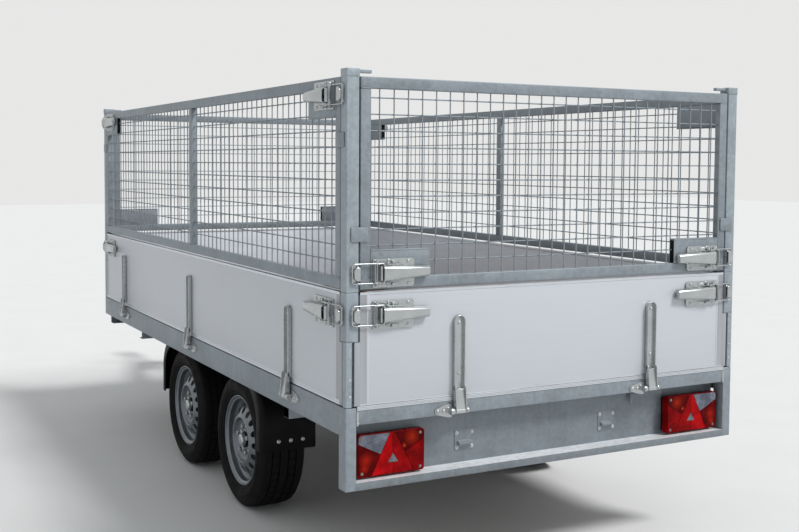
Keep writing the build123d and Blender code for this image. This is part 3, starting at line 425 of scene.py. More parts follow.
# ------------------------------------------------------------------ bolts and screws
def hex_head(radius, height):
    """Hexagon head or nut on a washer, standing on z = 0."""
    washer = rod((0, 0, 0), (0, 0, height * 0.2), radius * 1.3, 16)
    head = soften(rod((0, 0, height * 0.2), (0, 0, height), radius, 6), radius * 0.12, 1)
    return joined([washer, head])


def domed_head(radius, height, sides=14):
    """Low domed head on a washer, standing on z = 0."""
    rings = ((1.35, 0), (1.35, 0.18), (1, 0.2), (0.96, 0.5), (0.75, 0.85), (0.3, 1))
    return turned([(radius * across, height * up) for across, up in rings], sides)


FASTENERS = {
    "hex": lambda: hex_head(0.0085, 0.0062),
    "screw": lambda: domed_head(0.0052, 0.0036, 12),
    "bolt": lambda: domed_head(sizes().bolt, 0.0055),
}


def fastener(kind, stand, size=1.0):
    """Copy of a head, whose pattern is made the first time, on the place a matrix gives."""
    name = f"{kind}_pattern"
    if name not in bpy.data.objects:
        FASTENERS[kind]().name = name
    return placed(bpy.data.objects[name], stand @ Matrix.Scale(size, 4))


# ------------------------------------------------------------------ materials
def shade(colour, factor):
    """A colour made lighter or darker."""
    return tuple(min(channel * factor, 1.0) for channel in colour)


class Finish:
    """A node material that is being written."""

    def __init__(self, name):
        self.material = bpy.data.materials.new(name)
        self.material.use_nodes = True
        self.nodes = self.material.node_tree.nodes
        self.shader = self.nodes["Principled BSDF"]
        self.place = self.nodes.new("ShaderNodeTexCoord").outputs["Object"]

    def set(self, **values):
        for name, value in values.items():
            self.shader.inputs[name.replace("_", " ")].default_value = value

    def node(self, kind, settings=(), **values):
        """New node with its settings, and with values or other nodes' outputs on its inputs."""
        node = self.nodes.new(f"ShaderNode{kind}")
        for name, value in dict(settings).items():
            setattr(node, name, value)
        for name, value in values.items():
            self.feed(node.inputs[name], value)
        return node

    def feed(self, socket, value):
        """Put a value, a colour or another node's output on an input."""
        if hasattr(value, "links"):
            self.material.node_tree.links.new(value, socket)
        elif isinstance(value, tuple) and len(value) < len(socket.default_value):
            socket.default_value = (*value, 1)
        else:
            socket.default_value = value

    def stretched(self, *scale):
        """Object coordinates stretched along the axes."""
        return self.node("Mapping", Scale=scale, Vector=self.place).outputs["Vector"]

    def noise(self, scale, detail=3.0, roughness=0.5, place=None):
        return self.node("TexNoise", Scale=scale, Detail=detail, Roughness=roughness,
                         Vector=place or self.place).outputs["Fac"]

    def cells(self, scale, output="Color"):
        return self.node("TexVoronoi", Scale=scale, Vector=self.place).outputs[output]

    def ramp(self, value, *stops):
        """Colours or greys over a value; a stop is (position, colour or grey)."""
        node = self.node("ValToRGB", Fac=value)
        points = node.color_ramp.elements
        while len(points) < len(stops):
            points.new(0.5)
        for point, (position, tone) in zip(points, stops):
            point.position = position
            point.color = (*((tone,) * 3 if isinstance(tone, (int, float)) else tone), 1)
        return node.outputs["Color"]

    def tones(self, value, base, *stops):
        """Shades of a base colour over a value; a stop is (position, factor)."""
        return self.ramp(value, *((position, shade(base, factor)) for position, factor in stops))

    def mix(self, a, b, factor, blend="MIX"):
        node = self.node("Mix", {"data_type": "RGBA", "blend_type": blend})
        for socket, value in zip((node.inputs[0], node.inputs[6], node.inputs[7]), (factor, a, b)):
            self.feed(socket, value)
        return node.outputs[2]

    def math(self, kind, a, b=0.0):
        node = self.node("Math", {"operation": kind})
        self.feed(node.inputs[0], a)
        self.feed(node.inputs[1], b)
        return node.outputs["Value"]

    def near(self, across, up, radius):
        """1 at a distance from the middle plane and a height, falling to 0 at a radius round it."""
        place = self.node("SeparateXYZ", Vector=self.place).outputs
        side = self.math("SUBTRACT", self.math("ABSOLUTE", place["Y"]), across)
        rise = self.math("SUBTRACT", place["Z"], up)
        squares = self.math("ADD", self.math("MULTIPLY", side, side), self.math("MULTIPLY", rise, rise))
        far = self.math("DIVIDE", self.math("SQRT", squares), radius)
        return self.ramp(far, (0.0, 1.0), (0.45, 0.42), (1.0, 0.0))

    def bump(self, height, strength, distance):
        """Bump over the ones written before."""
        normal = self.shader.inputs["Normal"]
        before = {"Normal": normal.links[0].from_socket} if normal.links else {}
        node = self.node("Bump", Strength=strength, Distance=distance, Height=height, **before)
        self.feed(normal, node.outputs["Normal"])

    def colour(self, output):
        self.feed(self.shader.inputs["Base Color"], output)

    def roughness(self, value, *stops):
        """Roughness over a value; a stop is (position, roughness)."""
        self.feed(self.shader.inputs["Roughness"], self.ramp(value, *stops))


def material(name, recipe, *values):
    """The material of that name, which its recipe writes the first time."""
    if name not in bpy.data.materials:
        recipe(Finish(name), *values)
    return bpy.data.materials[name]


def coat(name):
    """Turns a recipe into a function that gives the material of that name."""
    return lambda recipe: partial(material, name, recipe)


def hot_dip(finish, factor=1.0):
    """Hot-dip zinc: soft spangle, cloudy patches and a dull sheen; a factor paints light or shade into it,
    lighter or darker.
    """
    base = shade(colours().galvanised, factor)
    spangle = finish.tones(finish.cells(85), base, (0.15, 0.80), (0.85, 1.20))
    cloud = finish.tones(finish.noise(7, 5, 0.6), base, (0.3, 0.78), (0.7, 1.20))
    streak = finish.ramp(finish.noise(1.0, 4, 0.6, finish.stretched(60, 60, 6)), (0.35, 0.90), (0.62, 1.0))
    finish.colour(finish.mix(finish.mix(spangle, cloud, 0.55), streak, 0.7, "MULTIPLY"))
    finish.roughness(finish.cells(85), (0.2, 0.50), (0.8, 0.64))
    finish.bump(finish.noise(160, 3), 0.12, 0.0006)
    finish.bump(finish.noise(22, 4), 0.10, 0.002)
    finish.set(Metallic=0.40)


galvanised = partial(material, "hot_dip_galvanised", hot_dip)
painted_lit_galvanised = partial(material, "painted_lit_galvanised", hot_dip, 1.26)    # painted lighter on the posts and caps, for the light they catch
painted_shade_galvanised = partial(material, "painted_shade_galvanised", hot_dip, 0.80)    # painted darker on the light panel, for the shade under the rear rail


@coat("painted_sunlit_zinc")
def painted_sunlit_galvanised(finish):
    """Hot-dip zinc painted almost white, a painted highlight for sunlight on upward faces."""
    finish.colour(finish.tones(finish.cells(85), (0.80, 0.82, 0.84), (0.15, 0.90), (0.85, 1.08)))
    finish.roughness(finish.noise(40, 3), (0.3, 0.36), (0.7, 0.46))
    finish.bump(finish.noise(160, 3), 0.08, 0.0005)
    finish.set(Metallic=0.30)


@coat("bright_zinc_plate")
def bright_zinc(finish):
    """Bright zinc plate with a faint haze and a fine grain."""
    finish.colour(finish.tones(finish.noise(14, 3), colours().zinc, (0.35, 0.94), (0.65, 1.05)))
    finish.roughness(finish.noise(40, 3), (0.35, 0.26), (0.7, 0.34))
    finish.bump(finish.noise(500, 2), 0.03, 0.0002)
    finish.set(Metallic=0.85)


@coat("coated_board")
def board_coat(finish):
    """Coated aluminium skin: smooth, with a faint long grain and a soft gloss."""
    grain = finish.noise(1.0, 3, 0.5, finish.stretched(4, 4, 240))
    cloud = finish.mix(grain, finish.noise(2.5, 3), 0.5)
    finish.colour(finish.tones(cloud, colours().board, (0.3, 0.97), (0.7, 1.03)))
    finish.roughness(grain, (0.3, 0.34), (0.7, 0.42))
    finish.bump(grain, 0.03, 0.0004)
    finish.set(Metallic=0.15)


@coat("painted_light_board_lining")
def painted_light_board_lining(finish):
    """Inside of a board: the coat painted lighter for the light that falls on the inner faces, with rubbed
    marks.
    """
    marks = finish.noise(1.0, 4, 0.6, finish.stretched(5, 5, 30))
    finish.colour(finish.tones(marks, shade(colours().board, 1.38), (0.3, 0.93), (0.7, 1.03)))
    finish.roughness(finish.noise(20, 3), (0.3, 0.42), (0.7, 0.52))
    finish.bump(marks, 0.05, 0.0004)


@coat("board_end_profile")
def board_profile(finish):
    """End profile of a board: a duller coat over upright draw lines."""
    lines = finish.noise(1.0, 3, 0.5, finish.stretched(260, 260, 3))
    finish.colour(finish.tones(lines, shade(colours().board, 0.66), (0.3, 0.94), (0.7, 1.06)))
    finish.roughness(lines, (0.3, 0.36), (0.7, 0.44))
    finish.bump(lines, 0.04, 0.0003)
    finish.set(Metallic=0.15)


@coat("extruded_aluminium")
def mill_aluminium(finish):
    """Extruded aluminium edge: fine lines along the length."""
    lines = finish.noise(1.0, 3, 0.6, finish.stretched(8, 8, 700))
    finish.colour(finish.tones(lines, (0.62, 0.65, 0.69), (0.3, 0.9), (0.7, 1.08)))
    finish.roughness(lines, (0.3, 0.26), (0.7, 0.38))
    finish.bump(lines, 0.08, 0.0003)
    finish.set(Metallic=0.7)


@coat("film_faced_plywood")
def plywood(finish):
    """Film-faced plywood with worn patches and a fine non-slip grain."""
    finish.colour(finish.tones(finish.noise(3, 6, 0.65), colours().plywood, (0.35, 0.8), (0.7, 1.5)))
    finish.roughness(finish.noise(12, 4), (0.3, 0.42), (0.7, 0.62))
    finish.bump(finish.cells(260, "Distance"), 0.35, 0.0006)


@coat("tyre_rubber")
def tyre_rubber(finish):
    """Tyre rubber with a dusty bloom and fine moulding grain."""
    dusty = (0.009, 0.0087, 0.0082)
    finish.colour(finish.ramp(finish.noise(9, 5, 0.6), (0.35, colours().tyre), (0.75, dusty)))
    finish.roughness(finish.noise(30, 3), (0.3, 0.62), (0.7, 0.82))
    finish.bump(finish.noise(400, 2), 0.15, 0.0004)
    finish.set(Specular_IOR_Level=0.12)


@coat("silver_wheel_paint")
def wheel_silver(finish):
    """Silver wheel paint with a fine flake and brake dust."""
    finish.colour(finish.tones(finish.noise(14, 5, 0.6), colours().wheel, (0.3, 0.86), (0.7, 1.06)))
    finish.roughness(finish.noise(40, 3), (0.3, 0.30), (0.7, 0.42))
    finish.bump(finish.noise(700, 1), 0.04, 0.0002)
    finish.set(Metallic=0.7, Coat_Weight=0.25)


@coat("black_moulded_plastic")
def black_plastic(finish):
    """Grained black plastic, slightly dusty."""
    finish.colour(finish.tones(finish.noise(6, 5, 0.6), colours().plastic, (0.35, 1.0), (0.75, 2.2)))
    finish.roughness(finish.noise(25, 3), (0.3, 0.38), (0.7, 0.55))
    finish.bump(finish.cells(900, "Distance"), 0.2, 0.0003)
    finish.set(Specular_IOR_Level=0.10)


@coat("matt_black_rubber")
def black_rubber(finish):
    """Matt black rubber."""
    dark, worn = (0.016, 0.016, 0.016), (0.035, 0.034, 0.033)
    finish.colour(finish.ramp(finish.noise(40, 4), (0.3, dark), (0.7, worn)))
    finish.roughness(finish.noise(80, 3), (0.3, 0.6), (0.7, 0.8))
    finish.bump(finish.noise(500, 2), 0.2, 0.0003)


@coat("cast_hub")
def hub_casting(finish):
    """Grey casting with a light film of rust."""
    clean, rusty = (0.16, 0.155, 0.15), (0.27, 0.25, 0.235)
    finish.colour(finish.ramp(finish.noise(28, 5, 0.65), (0.35, clean), (0.72, rusty)))
    finish.roughness(finish.noise(60, 3), (0.3, 0.45), (0.7, 0.7))
    finish.bump(finish.noise(180, 3), 0.3, 0.0006)
    finish.set(Metallic=0.55)


@coat("pale_studio_floor")
def floor_plain(finish):
    finish.colour(finish.ramp(finish.noise(3, 3), (0.3, (0.79, 0.79, 0.785)), (0.7, (0.81, 0.81, 0.805))))
    finish.roughness(finish.noise(8, 2), (0.3, 0.7), (0.7, 0.8))


def moulded_lens(finish, base, grain, strength, glint_colour=None, spots=()):
    """Lens with a fine prism grain, soft lighter and darker patches painted as glints, and round painted
    glints; a spot is (from the middle, up, radius).
    """
    prism = finish.cells(grain, "Distance")
    # lighter and darker patches, a painted stand-in for glints in the lens
    glint_patches = finish.ramp(finish.noise(24, 2), (0.38, 0.70), (0.68, 1.3))
    tone = finish.mix(finish.tones(prism, base, (0.1, 0.5), (0.6, 1.0)), glint_patches, 1.0, "MULTIPLY")
    # round painted glints blended in at each spot
    for spot in spots:
        tone = finish.mix(tone, glint_colour, finish.near(*spot))
    finish.colour(tone)
    finish.bump(prism, strength, 0.0006)
    finish.roughness(finish.noise(50, 2), (0.3, 0.22), (0.7, 0.32))
    finish.set(Specular_IOR_Level=0.05)


# ------------------------------------------------------------------ steelwork that the frame gives
# CAD pieces and the radius of their edges
STEELWORK = {
    "side_rails": 0.003, "cross_members": 0.002, "front_beam": 0.002, "rear_rail": 0.003, "rear_legs": 0.003,
    "chassis_beam_left": 0.004, "chassis_beam_right": 0.004, "drawbar_head": 0.002, "axle_tubes": 0.006,
    "suspension_arms": 0.003,
}
PLATED = {
    "overrun_unit": 0.002, "coupling_head": 0.003, "handbrake_lever": 0.002, "brake_rod": 0.001,
    "jockey_clamp": 0.002, "jockey_leg": 0.002, "jockey_fork": 0.0015, "board_hinge_brackets": 0.0012,
}


def body_of(node):
    """Name of the body that carries a CAD node."""
    bodies = frame["record"]["behaviour"]["bodies"]
    return next(body for body, nodes in bodies.items() if node in nodes)


def softened_copy(node, width, name):
    """Copy of a CAD piece with its triangles merged into faces and its edges rounded."""
    source = frame["nodes"][node]
    copy = source.copy()
    copy.data = source.data.copy()
    copy.parent = None
    for key in list(copy.keys()):
        del copy[key]
    bpy.context.collection.objects.link(copy)
    copy.matrix_world = Matrix.Identity(4)
    copy.name = name
    with editing(copy):
        bpy.ops.mesh.remove_doubles(threshold=0.00002)
        bpy.ops.mesh.dissolve_limited(angle_limit=math.radians(1.0))
    return soften(copy, width, 2, 40)


def finish_rounded(widths, slot, finish_coat):
    """Finish CAD pieces as they are, with their edges rounded."""
    for node, width in widths.items():
        piece = painted(softened_copy(node, width, f"{node}_rounded"), finish_coat())
        finish(piece, body_of(node), slot, [node], 30)


class TRAILER_OT_steelwork(bpy.types.Operator):
    """Round the edges of the frame, beams and axles and galvanise them"""

    bl_idname = "trailer.steelwork"
    bl_label = "Galvanised Steelwork"

    def execute(self, context):
        finish_rounded(STEELWORK, "galvanised_steel", galvanised)
        return {"FINISHED"}


class TRAILER_OT_plated_parts(bpy.types.Operator):
    """Round the edges of the coupling, overrun unit, jockey wheel parts and hinge brackets and plate them"""

    bl_idname = "trailer.plated_parts"
    bl_label = "Plated Parts"

    def execute(self, context):
        finish_rounded(PLATED, "zinc_plate", bright_zinc)
        return {"FINISHED"}


# ------------------------------------------------------------------ corner posts
BAR = 0.035                  # width of the mesh frames' bars
POST_SEAM = 0.0015           # dark line where one length of post stands on the next
REBATE = 0.012               # how far the lower posts stand back behind the boards' lips
LIP_DROP = 0.150             # the lips and the rebates start this far below the boards' tops
CORNER_STRIP = (0.025, 0.0205)   # what is left of a lower post's side and end face
SHOULDER = 0.004             # how far the rebated length reaches up into the full one
POST_WALL = 0.004            # a spigot's distance from the post's outside
PIN_RADIUS = 0.005
PIN_ENDS = (-0.003, POST_GAP + 0.002)    # along the wall, from the mesh frame's end


def corner_post(low, high, rebated):
    """Post in its corner's own x and y, both inwards from the outer corner."""
    seam, near, far = low + POST_SEAM, POST_WALL, POST - POST_WALL
    foot, parts = seam, []
    if rebated:
        foot, near = BED_TOP + BOARD_HIGH - LIP_DROP, REBATE + 0.002
        parts = [slab((0, 0, seam), (*CORNER_STRIP, foot + SHOULDER), 0.0022, 3),
                 slab((REBATE, REBATE, seam), (POST, POST, foot + SHOULDER), 0.001)]
    tube = round_edges(block((0, 0, foot), (POST, POST, high)), runs(Z), 0.0028)
    spigot = block((near, near, low - 0.001), (far, far, seam + 0.002))
    return joined(parts + [tube, spigot])


def pivot_pins():
    """Round pins from the upper posts into the mesh frames."""
    pins = []
    for name, wall in WALLS.items():
        height = MESH_LOW + BAR / 2 if wall.drops else MESH_HIGH - BAR / 2
        for side in (1, -1):
            ends = [(side * (wall.length / 2 + reach), height, -MESH_DEPTH / 2) for reach in PIN_ENDS]
            pin = rod(*ends, PIN_RADIUS)
            pins.append(placed(pin, wall_matrix(name)))
            discard(pin)
    return pins


class TRAILER_OT_corner_posts(bpy.types.Operator):
    """Build the corner posts, the lower ones set back behind the boards' ends, with the mesh frames' pins"""

    bl_idname = "trailer.corner_posts"
    bl_label = "Corner Posts"

    def execute(self, context):
        for node, rebated in (("lower_posts", True), ("upper_posts", False)):
            low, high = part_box(node)
            pattern = corner_post(low.z, high.z, rebated)
            parts = [] if rebated else pivot_pins()
            for x, way_x in ((REAR_X, 1), (FRONT_X, -1)):
                for y, way_y in ((HALF_WIDTH, -1), (-HALF_WIDTH, 1)):
                    matrix = Matrix.Translation((x, y, 0)) @ Matrix.Diagonal((way_x, way_y, 1, 1))
                    parts.append(placed(pattern, matrix))
            discard(pattern)
            # the posts are painted lighter for the light they catch
            piece = painted(joined(parts, f"{node}_rounded"), painted_lit_galvanised())
            finish(piece, "chassis", "galvanised_steel", [node], 30)
        return {"FINISHED"}


# ------------------------------------------------------------------ stage
# Level and colour of the soft light from all round, shade of the plain background,
# and level, spread and direction of the key light
WORLD_LEVEL = 0.50
WORLD_COLOUR = (0.95, 0.98, 1.0)
BACKDROP_COLOUR = (0.80, 0.80, 0.795)
KEY_LEVEL = 2.35
KEY_SPREAD = math.radians(14)
KEY_DIRECTION = (0.53, 0.38, -0.757)
FLOOR_SIZE = 60


def studio_world():
    """Even light from all round, with a plain pale background for the camera, metal and lenses."""
    world = bpy.data.worlds.new("studio_world")
    world.use_nodes = True
    nodes, links = world.node_tree.nodes, world.node_tree.links
    light, shown = nodes["Background"], nodes.new("ShaderNodeBackground")
    for node, colour, level in ((light, WORLD_COLOUR, WORLD_LEVEL), (shown, BACKDROP_COLOUR, 1.0)):
        node.inputs["Color"].default_value = (*colour, 1)
        node.inputs["Strength"].default_value = level
    path = nodes.new("ShaderNodeLightPath")
    seen = path.outputs["Is Camera Ray"]
    for kind in ("Is Glossy Ray", "Is Transmission Ray"):
        either = nodes.new("ShaderNodeMath")
        either.operation = "MAXIMUM"
        links.new(seen, either.inputs[0])
        links.new(path.outputs[kind], either.inputs[1])
        seen = either.outputs["Value"]
    mix = nodes.new("ShaderNodeMixShader")
    for output, socket in zip((seen, light.outputs["Background"], shown.outputs["Background"]), mix.inputs):
        links.new(output, socket)
    links.new(mix.outputs["Shader"], nodes["World Output"].inputs["Surface"])
    return world


def added(name, data):
    """Object in the scene that holds a light or a camera."""
    holder = bpy.data.objects.new(name, data)
    bpy.context.collection.objects.link(holder)
    return holder


class TRAILER_OT_stage(bpy.types.Operator):
    """Add the pale floor, the soft lights and the camera"""

    bl_idname = "trailer.stage"
    bl_label = "Stage"

    def execute(self, context):
        clear()
        bpy.ops.mesh.primitive_plane_add(size=FLOOR_SIZE, location=(0, 0, 0))
        floor = settle(context.object)
        floor.name = "studio_floor"
        painted(floor, floor_plain())
        context.scene.world = studio_world()
        light = bpy.data.lights.new("key_light", "SUN")
        light.energy = KEY_LEVEL
        light.angle = KEY_SPREAD
        added("key_light", light).rotation_euler = Vector(KEY_DIRECTION).to_track_quat("-Z", "Y").to_euler()
        camera = bpy.data.cameras.new("camera")
        camera.sensor_width = SENSOR
        camera.lens = FOCAL
        camera.shift_y = SHIFT_Y
        yaw, pitch, roll = (math.radians(angle) for angle in CAMERA_TURN)
        forward = Vector((math.cos(yaw) * math.cos(pitch), math.sin(yaw) * math.cos(pitch), math.sin(pitch)))
        right = forward.cross(UP).normalized()
        level = Matrix((right, right.cross(forward), -forward)).transposed().to_4x4()
        holder = added("camera", camera)
        holder.matrix_world = Matrix.Translation(CAMERA_PLACE) @ level @ Matrix.Rotation(roll, 4, "Z")
        context.scene.camera = holder
        context.scene.view_settings.view_transform = "Standard"
        return {"FINISHED"}


# ------------------------------------------------------------------ drop boards
BOARD_LATCH_DROP = 0.071     # latches below their board's top
BOARD_PROFILE = 0.023        # flat of a board's end profile
BOARD_OVERLAP = 0.0185       # lip beyond the board's end, over the post's rebate
BOARD_EDGE = 0.004           # margin of the skin inside the board's outline
TOP_LIP = 0.0085
# Heights of the lower lip's parts, and of the sills' below the end boards
GROOVED_LIP = ((0, 0.0055), (0.0063, 0.0100), (0.0108, 0.0145))
PLAIN_LIP = ((0, 0.0042),)
SILL = ((-0.0085, -0.0045), (-0.0040, 0.0000), (0.0005, 0.0042))


def board(length, grooved):
    """Board in wall coordinates: skin, lips along its long edges and end profiles."""
    half = length / 2
    skin = slab((BOARD_EDGE - half, BOARD_LOW + BOARD_EDGE, 0.001 - BOARD_DEPTH),
                (half - BOARD_EDGE, BOARD_HIGH - BOARD_EDGE, -0.0012), 0.0008)
    painted(skin, board_coat(), painted_light_board_lining())
    # inner faces take the lining that is painted lighter for the light falling on them
    paint_faces(skin, 1, looks(Z, -1))
    parts = [skin]
    lips = [(BOARD_LOW + low, BOARD_LOW + high) for low, high in (GROOVED_LIP if grooved else PLAIN_LIP)]
    for low, high in lips + [(BOARD_HIGH - TOP_LIP, BOARD_HIGH)]:
        parts.append(painted(slab((-half, low, -BOARD_DEPTH), (half, high, 0), 0.0007), mill_aluminium()))
    for side in (1, -1):
        inner = half - BOARD_PROFILE
        # lip over the post's rebate, which ends below the latch's keeper
        lip = slab((side * (half - 0.001), BOARD_LOW, -0.0042),
                   (side * (half + BOARD_OVERLAP), BOARD_HIGH - LIP_DROP - 0.002, -0.0002), 0.0008)
        # end profile, and a shallow joint where the skin slides into it
        profile = block((side * half, BOARD_LOW, -BOARD_DEPTH), (side * inner, BOARD_HIGH, -0.0002))
        profile = soften(press(profile, looks(Z), 0.0025, (0, 0, -0.0008)), 0.0007)
        rib = slab((side * (inner - 0.0005), BOARD_LOW, -BOARD_DEPTH),
                   (side * (inner - 0.0085), BOARD_HIGH, -0.0005), 0.0008)
        parts += [painted(part, board_profile()) for part in (lip, profile)]
        parts.append(painted(rib, board_coat()))
    return joined(parts)


def finish_panels(pattern, length, kind, slot, angle=40):
    """Stand a board or a mesh frame on each wall of its length and drop the pattern."""
    for name, wall in WALLS.items():
        if wall.length == length:
            piece = placed(pattern, wall_matrix(name))
            piece.name = f"{name}_{kind}_panel"
            finish(piece, f"{name}_{kind}", slot, [f"{name}_{kind}"], angle)
    discard(pattern)


class TRAILER_OT_boards(bpy.types.Operator):
    """Build the four drop boards with their lips and end profiles, and the sills below the end boards"""

    bl_idname = "trailer.boards"
    bl_label = "Drop Boards"

    def execute(self, context):
        for length in (SIDE_LENGTH, END_LENGTH):
            finish_panels(board(length, length == SIDE_LENGTH), length, "board", "board_aluminium")
        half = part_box("rear_rail")[1].y - 0.002
        bars = [slab((-half, low, -0.001), (half, high, 0.0022), 0.0006) for low, high in SILL]
        sill = painted(joined(bars), mill_aluminium())
        sills = joined([placed(sill, wall_matrix(name)) for name in ("rear", "front")], "end_sills")
        finish(sills, "chassis", "board_aluminium")
        discard(sill)
        return {"FINISHED"}


# ------------------------------------------------------------------ mesh frames
WIRE_RISE = 0.010            # wires above the frame's middle
WIRE_END = 0.004             # how far the wires reach into the bars
BAR_ROUND = 0.0028
LATCH_BOX = (0.206, 0.084)   # folded box behind a latch, along the wall and across it
TAB_HALF = 0.0225
TAB_ENDS = (0.010, 0.068)    # stop tab along the wall, from the frame's upright bar's inner edge
TAB_DROP, TAB_RISE = 0.190, 0.168    # stop tab below the frame's top, or above its foot


def welded_bars(length, drops):
    """Bars of a mesh frame and the weld beads over their corners."""
    half, inner = length / 2, length / 2 - BAR
    low, high = MESH_LOW + BAR, MESH_HIGH - BAR
    boxes = [((-half, high, -MESH_DEPTH), (half, MESH_HIGH, 0)),
             ((-half, MESH_LOW, -MESH_DEPTH), (half, low, 0))]
    for side in (1, -1):
        boxes.append(((side * half, low + 0.0004, -MESH_DEPTH), (side * inner, high - 0.0004, -0.0003)))
    if drops:
        boxes.append(((-BAR / 2, low, -MESH_DEPTH), (BAR / 2, high, -0.0006)))
    parts = [slab(*box, BAR_ROUND, 3) for box in boxes]
    for side in (1, -1):
        for y in (low, high):
            bead = rod((side * (half - 0.003), y, -0.0006), (side * (inner + 0.001), y, -0.0006), 0.0022, 8)
            parts.append(soften(bead, 0.0012, 2))
    return parts


def crossed_wires(length, drops):
    """Level wires inside and upright wires outside, round bars all, and a small weld at each crossing."""
    inner = length / 2 - BAR
    low, high = MESH_LOW + BAR, MESH_HIGH - BAR
    wire, pitch, sides = sizes().wire, sizes().wire_pitch, 8
    level_z, upright_z = -MESH_DEPTH / 2 - wire / 2, -MESH_DEPTH / 2 + wire / 2
    row_count = int((high - low) // pitch)
    first_row = (low + high) / 2 + WIRE_RISE - (row_count - 1) * pitch / 2
    reach = inner + WIRE_END
    level = rod((-reach, first_row, level_z), (reach, first_row, level_z), wire / 2, sides)
    wires = [rows(level, row_count, (0, pitch, 0))]
    bay = inner - BAR / 2 if drops else 2 * inner
    column_count = int(bay // pitch)
    for side in ((-1, 1) if drops else (0,)):
        column = side * (bay + BAR) / 2 - (column_count - 1) * pitch / 2
        ends = [(column, y, upright_z) for y in (low - WIRE_END, high + WIRE_END)]
        upright = rod(*ends, wire / 2, sides)
        wires.append(rows(upright, column_count, (pitch, 0, 0)))
        ends = [(column, first_row, z) for z in (level_z - wire * 0.3, upright_z + wire * 0.2)]
        weld = rod(*ends, wire * 0.62, 6)
        wires.append(rows(rows(weld, column_count, (pitch, 0, 0)), row_count, (0, pitch, 0)))
    return wires


def latch_boxes(length, drops):
    """Folded box behind each latch and stop tab beside each post, and black blocks in the boxes' open ends
    that stand in for the shade inside them.
    """
    half, inner = length / 2, length / 2 - BAR
    root, way = (MESH_HIGH - BAR, -1) if drops else (MESH_LOW + BAR, 1)
    edge = root + way * LATCH_BOX[1]
    tab_y = MESH_HIGH - TAB_DROP if drops else MESH_LOW + TAB_RISE
    plates, painted_shade_ends = [], []
    for side in (1, -1):
        near, far = side * inner, side * (inner - LATCH_BOX[0])
        for back, front in ((-0.0025, -0.0002), (-MESH_DEPTH, 0.0018 - MESH_DEPTH)):
            plates.append(slab((near, root, back), (far, edge, front), 0.0009))
        rolled = block((near, edge - way * 0.003, -MESH_DEPTH), (far, edge + way * 0.0021, 0.0009))
        round_edges(rolled, runs(X, lambda middle: middle.z > -0.01), 0.0022, 4)
        plates.append(soften(rolled, 0.0005))
        # black block in the open end, a painted shade for the dark inside of the box
        shade_end = block((far + side * 0.0015, root, 0.001 - MESH_DEPTH), (far + side * 0.006, edge, -0.002))
        painted_shade_ends.append(soften(shade_end, 0.0006, 1))
        start, end = (side * (inner + reach) for reach in TAB_ENDS)
        tab = block((start, tab_y - TAB_HALF, 0.0006), (end, tab_y + TAB_HALF, 0.0044))
        plates.append(soften(round_edges(tab, runs(Z), 0.003, 2), 0.0008))
        # pad that the tab is welded to the bar with
        pad_half = TAB_HALF - 0.0005
        plates.append(block((start + side * 0.0002, tab_y - pad_half, -0.0002),
                            (side * (half - 0.002), tab_y + pad_half, 0.001)))
    return plates, painted_shade_ends


def mesh_frame(length, drops):
    """Welded frame with crossed round wires, in wall coordinates."""
    plates, painted_shade_ends = latch_boxes(length, drops)
    steel = painted(joined(welded_bars(length, drops) + crossed_wires(length, drops) + plates), galvanised())
    return joined([steel, painted(joined(painted_shade_ends), black_plastic())])


class TRAILER_OT_mesh_frames(bpy.types.Operator):
    """Build the four mesh frames of round wire in welded bar frames"""

    bl_idname = "trailer.mesh_frames"
    bl_label = "Mesh Frames"

    def execute(self, context):
        for length, drops in ((SIDE_LENGTH, True), (END_LENGTH, False)):
            finish_panels(mesh_frame(length, drops), length, "mesh", "galvanised_steel", 50)
        return {"FINISHED"}


# ------------------------------------------------------------------ latches and straps
# x runs along the wall from its end, inwards below zero and over the post above it,
# y up from the latch's centre line and z outwards
PLATE_BACK = 0.0055          # how far the latch's base plate stands out
LATCH_FOOT = PLATE_BACK - 0.001    # where what stands on the base plate starts
HANDLE_ROOT, HANDLE_TIP = -0.068, -0.232
HANDLE_HALF = 0.025
HANDLE_BACK, HANDLE_REACH = 0.006, 0.032
PIVOT = (-0.076, 0.0125)     # along the wall and out from it
PIN_HALF, PIVOT_RADIUS = 0.0335, 0.0034
BAIL_WIRE = 0.0023           # radius
BEND_STEPS = 6               # steps in each bend of the bail
MESH_LATCH_DROP, MESH_LATCH_RISE = 0.053, 0.049    # latches below their mesh frame's top, or above its foot


def latch_handle():
    """Tapered handle folded from sheet, open towards the wall and at its root."""
    body = block((HANDLE_TIP, -HANDLE_HALF, HANDLE_BACK), (HANDLE_ROOT, HANDLE_HALF, HANDLE_REACH))
    resize(body, looks(X, -1), (1, 0.66, 0.68), (HANDLE_TIP, HANDLE_BACK, HANDLE_BACK))
    with editing(body, lambda middle, normal: normal.z < -0.7 or normal.x > 0.9):
        bpy.ops.mesh.delete(type="FACE")
    # the long edges are rolled, the tip only a little
    outer = (HANDLE_REACH + HANDLE_BACK) / 2
    round_edges(body, runs(X, lambda middle: middle.z > outer), 0.0125, 7)
    round_edges(body, lambda middle, direction: middle.x < HANDLE_TIP + 0.004 and abs(direction.x) < 0.5
                and middle.z > outer * 0.7, 0.004, 4)
    modified(body, "SOLIDIFY", thickness=0.0024, offset=-1)
    return soften(body, 0.0006, 2, 50)


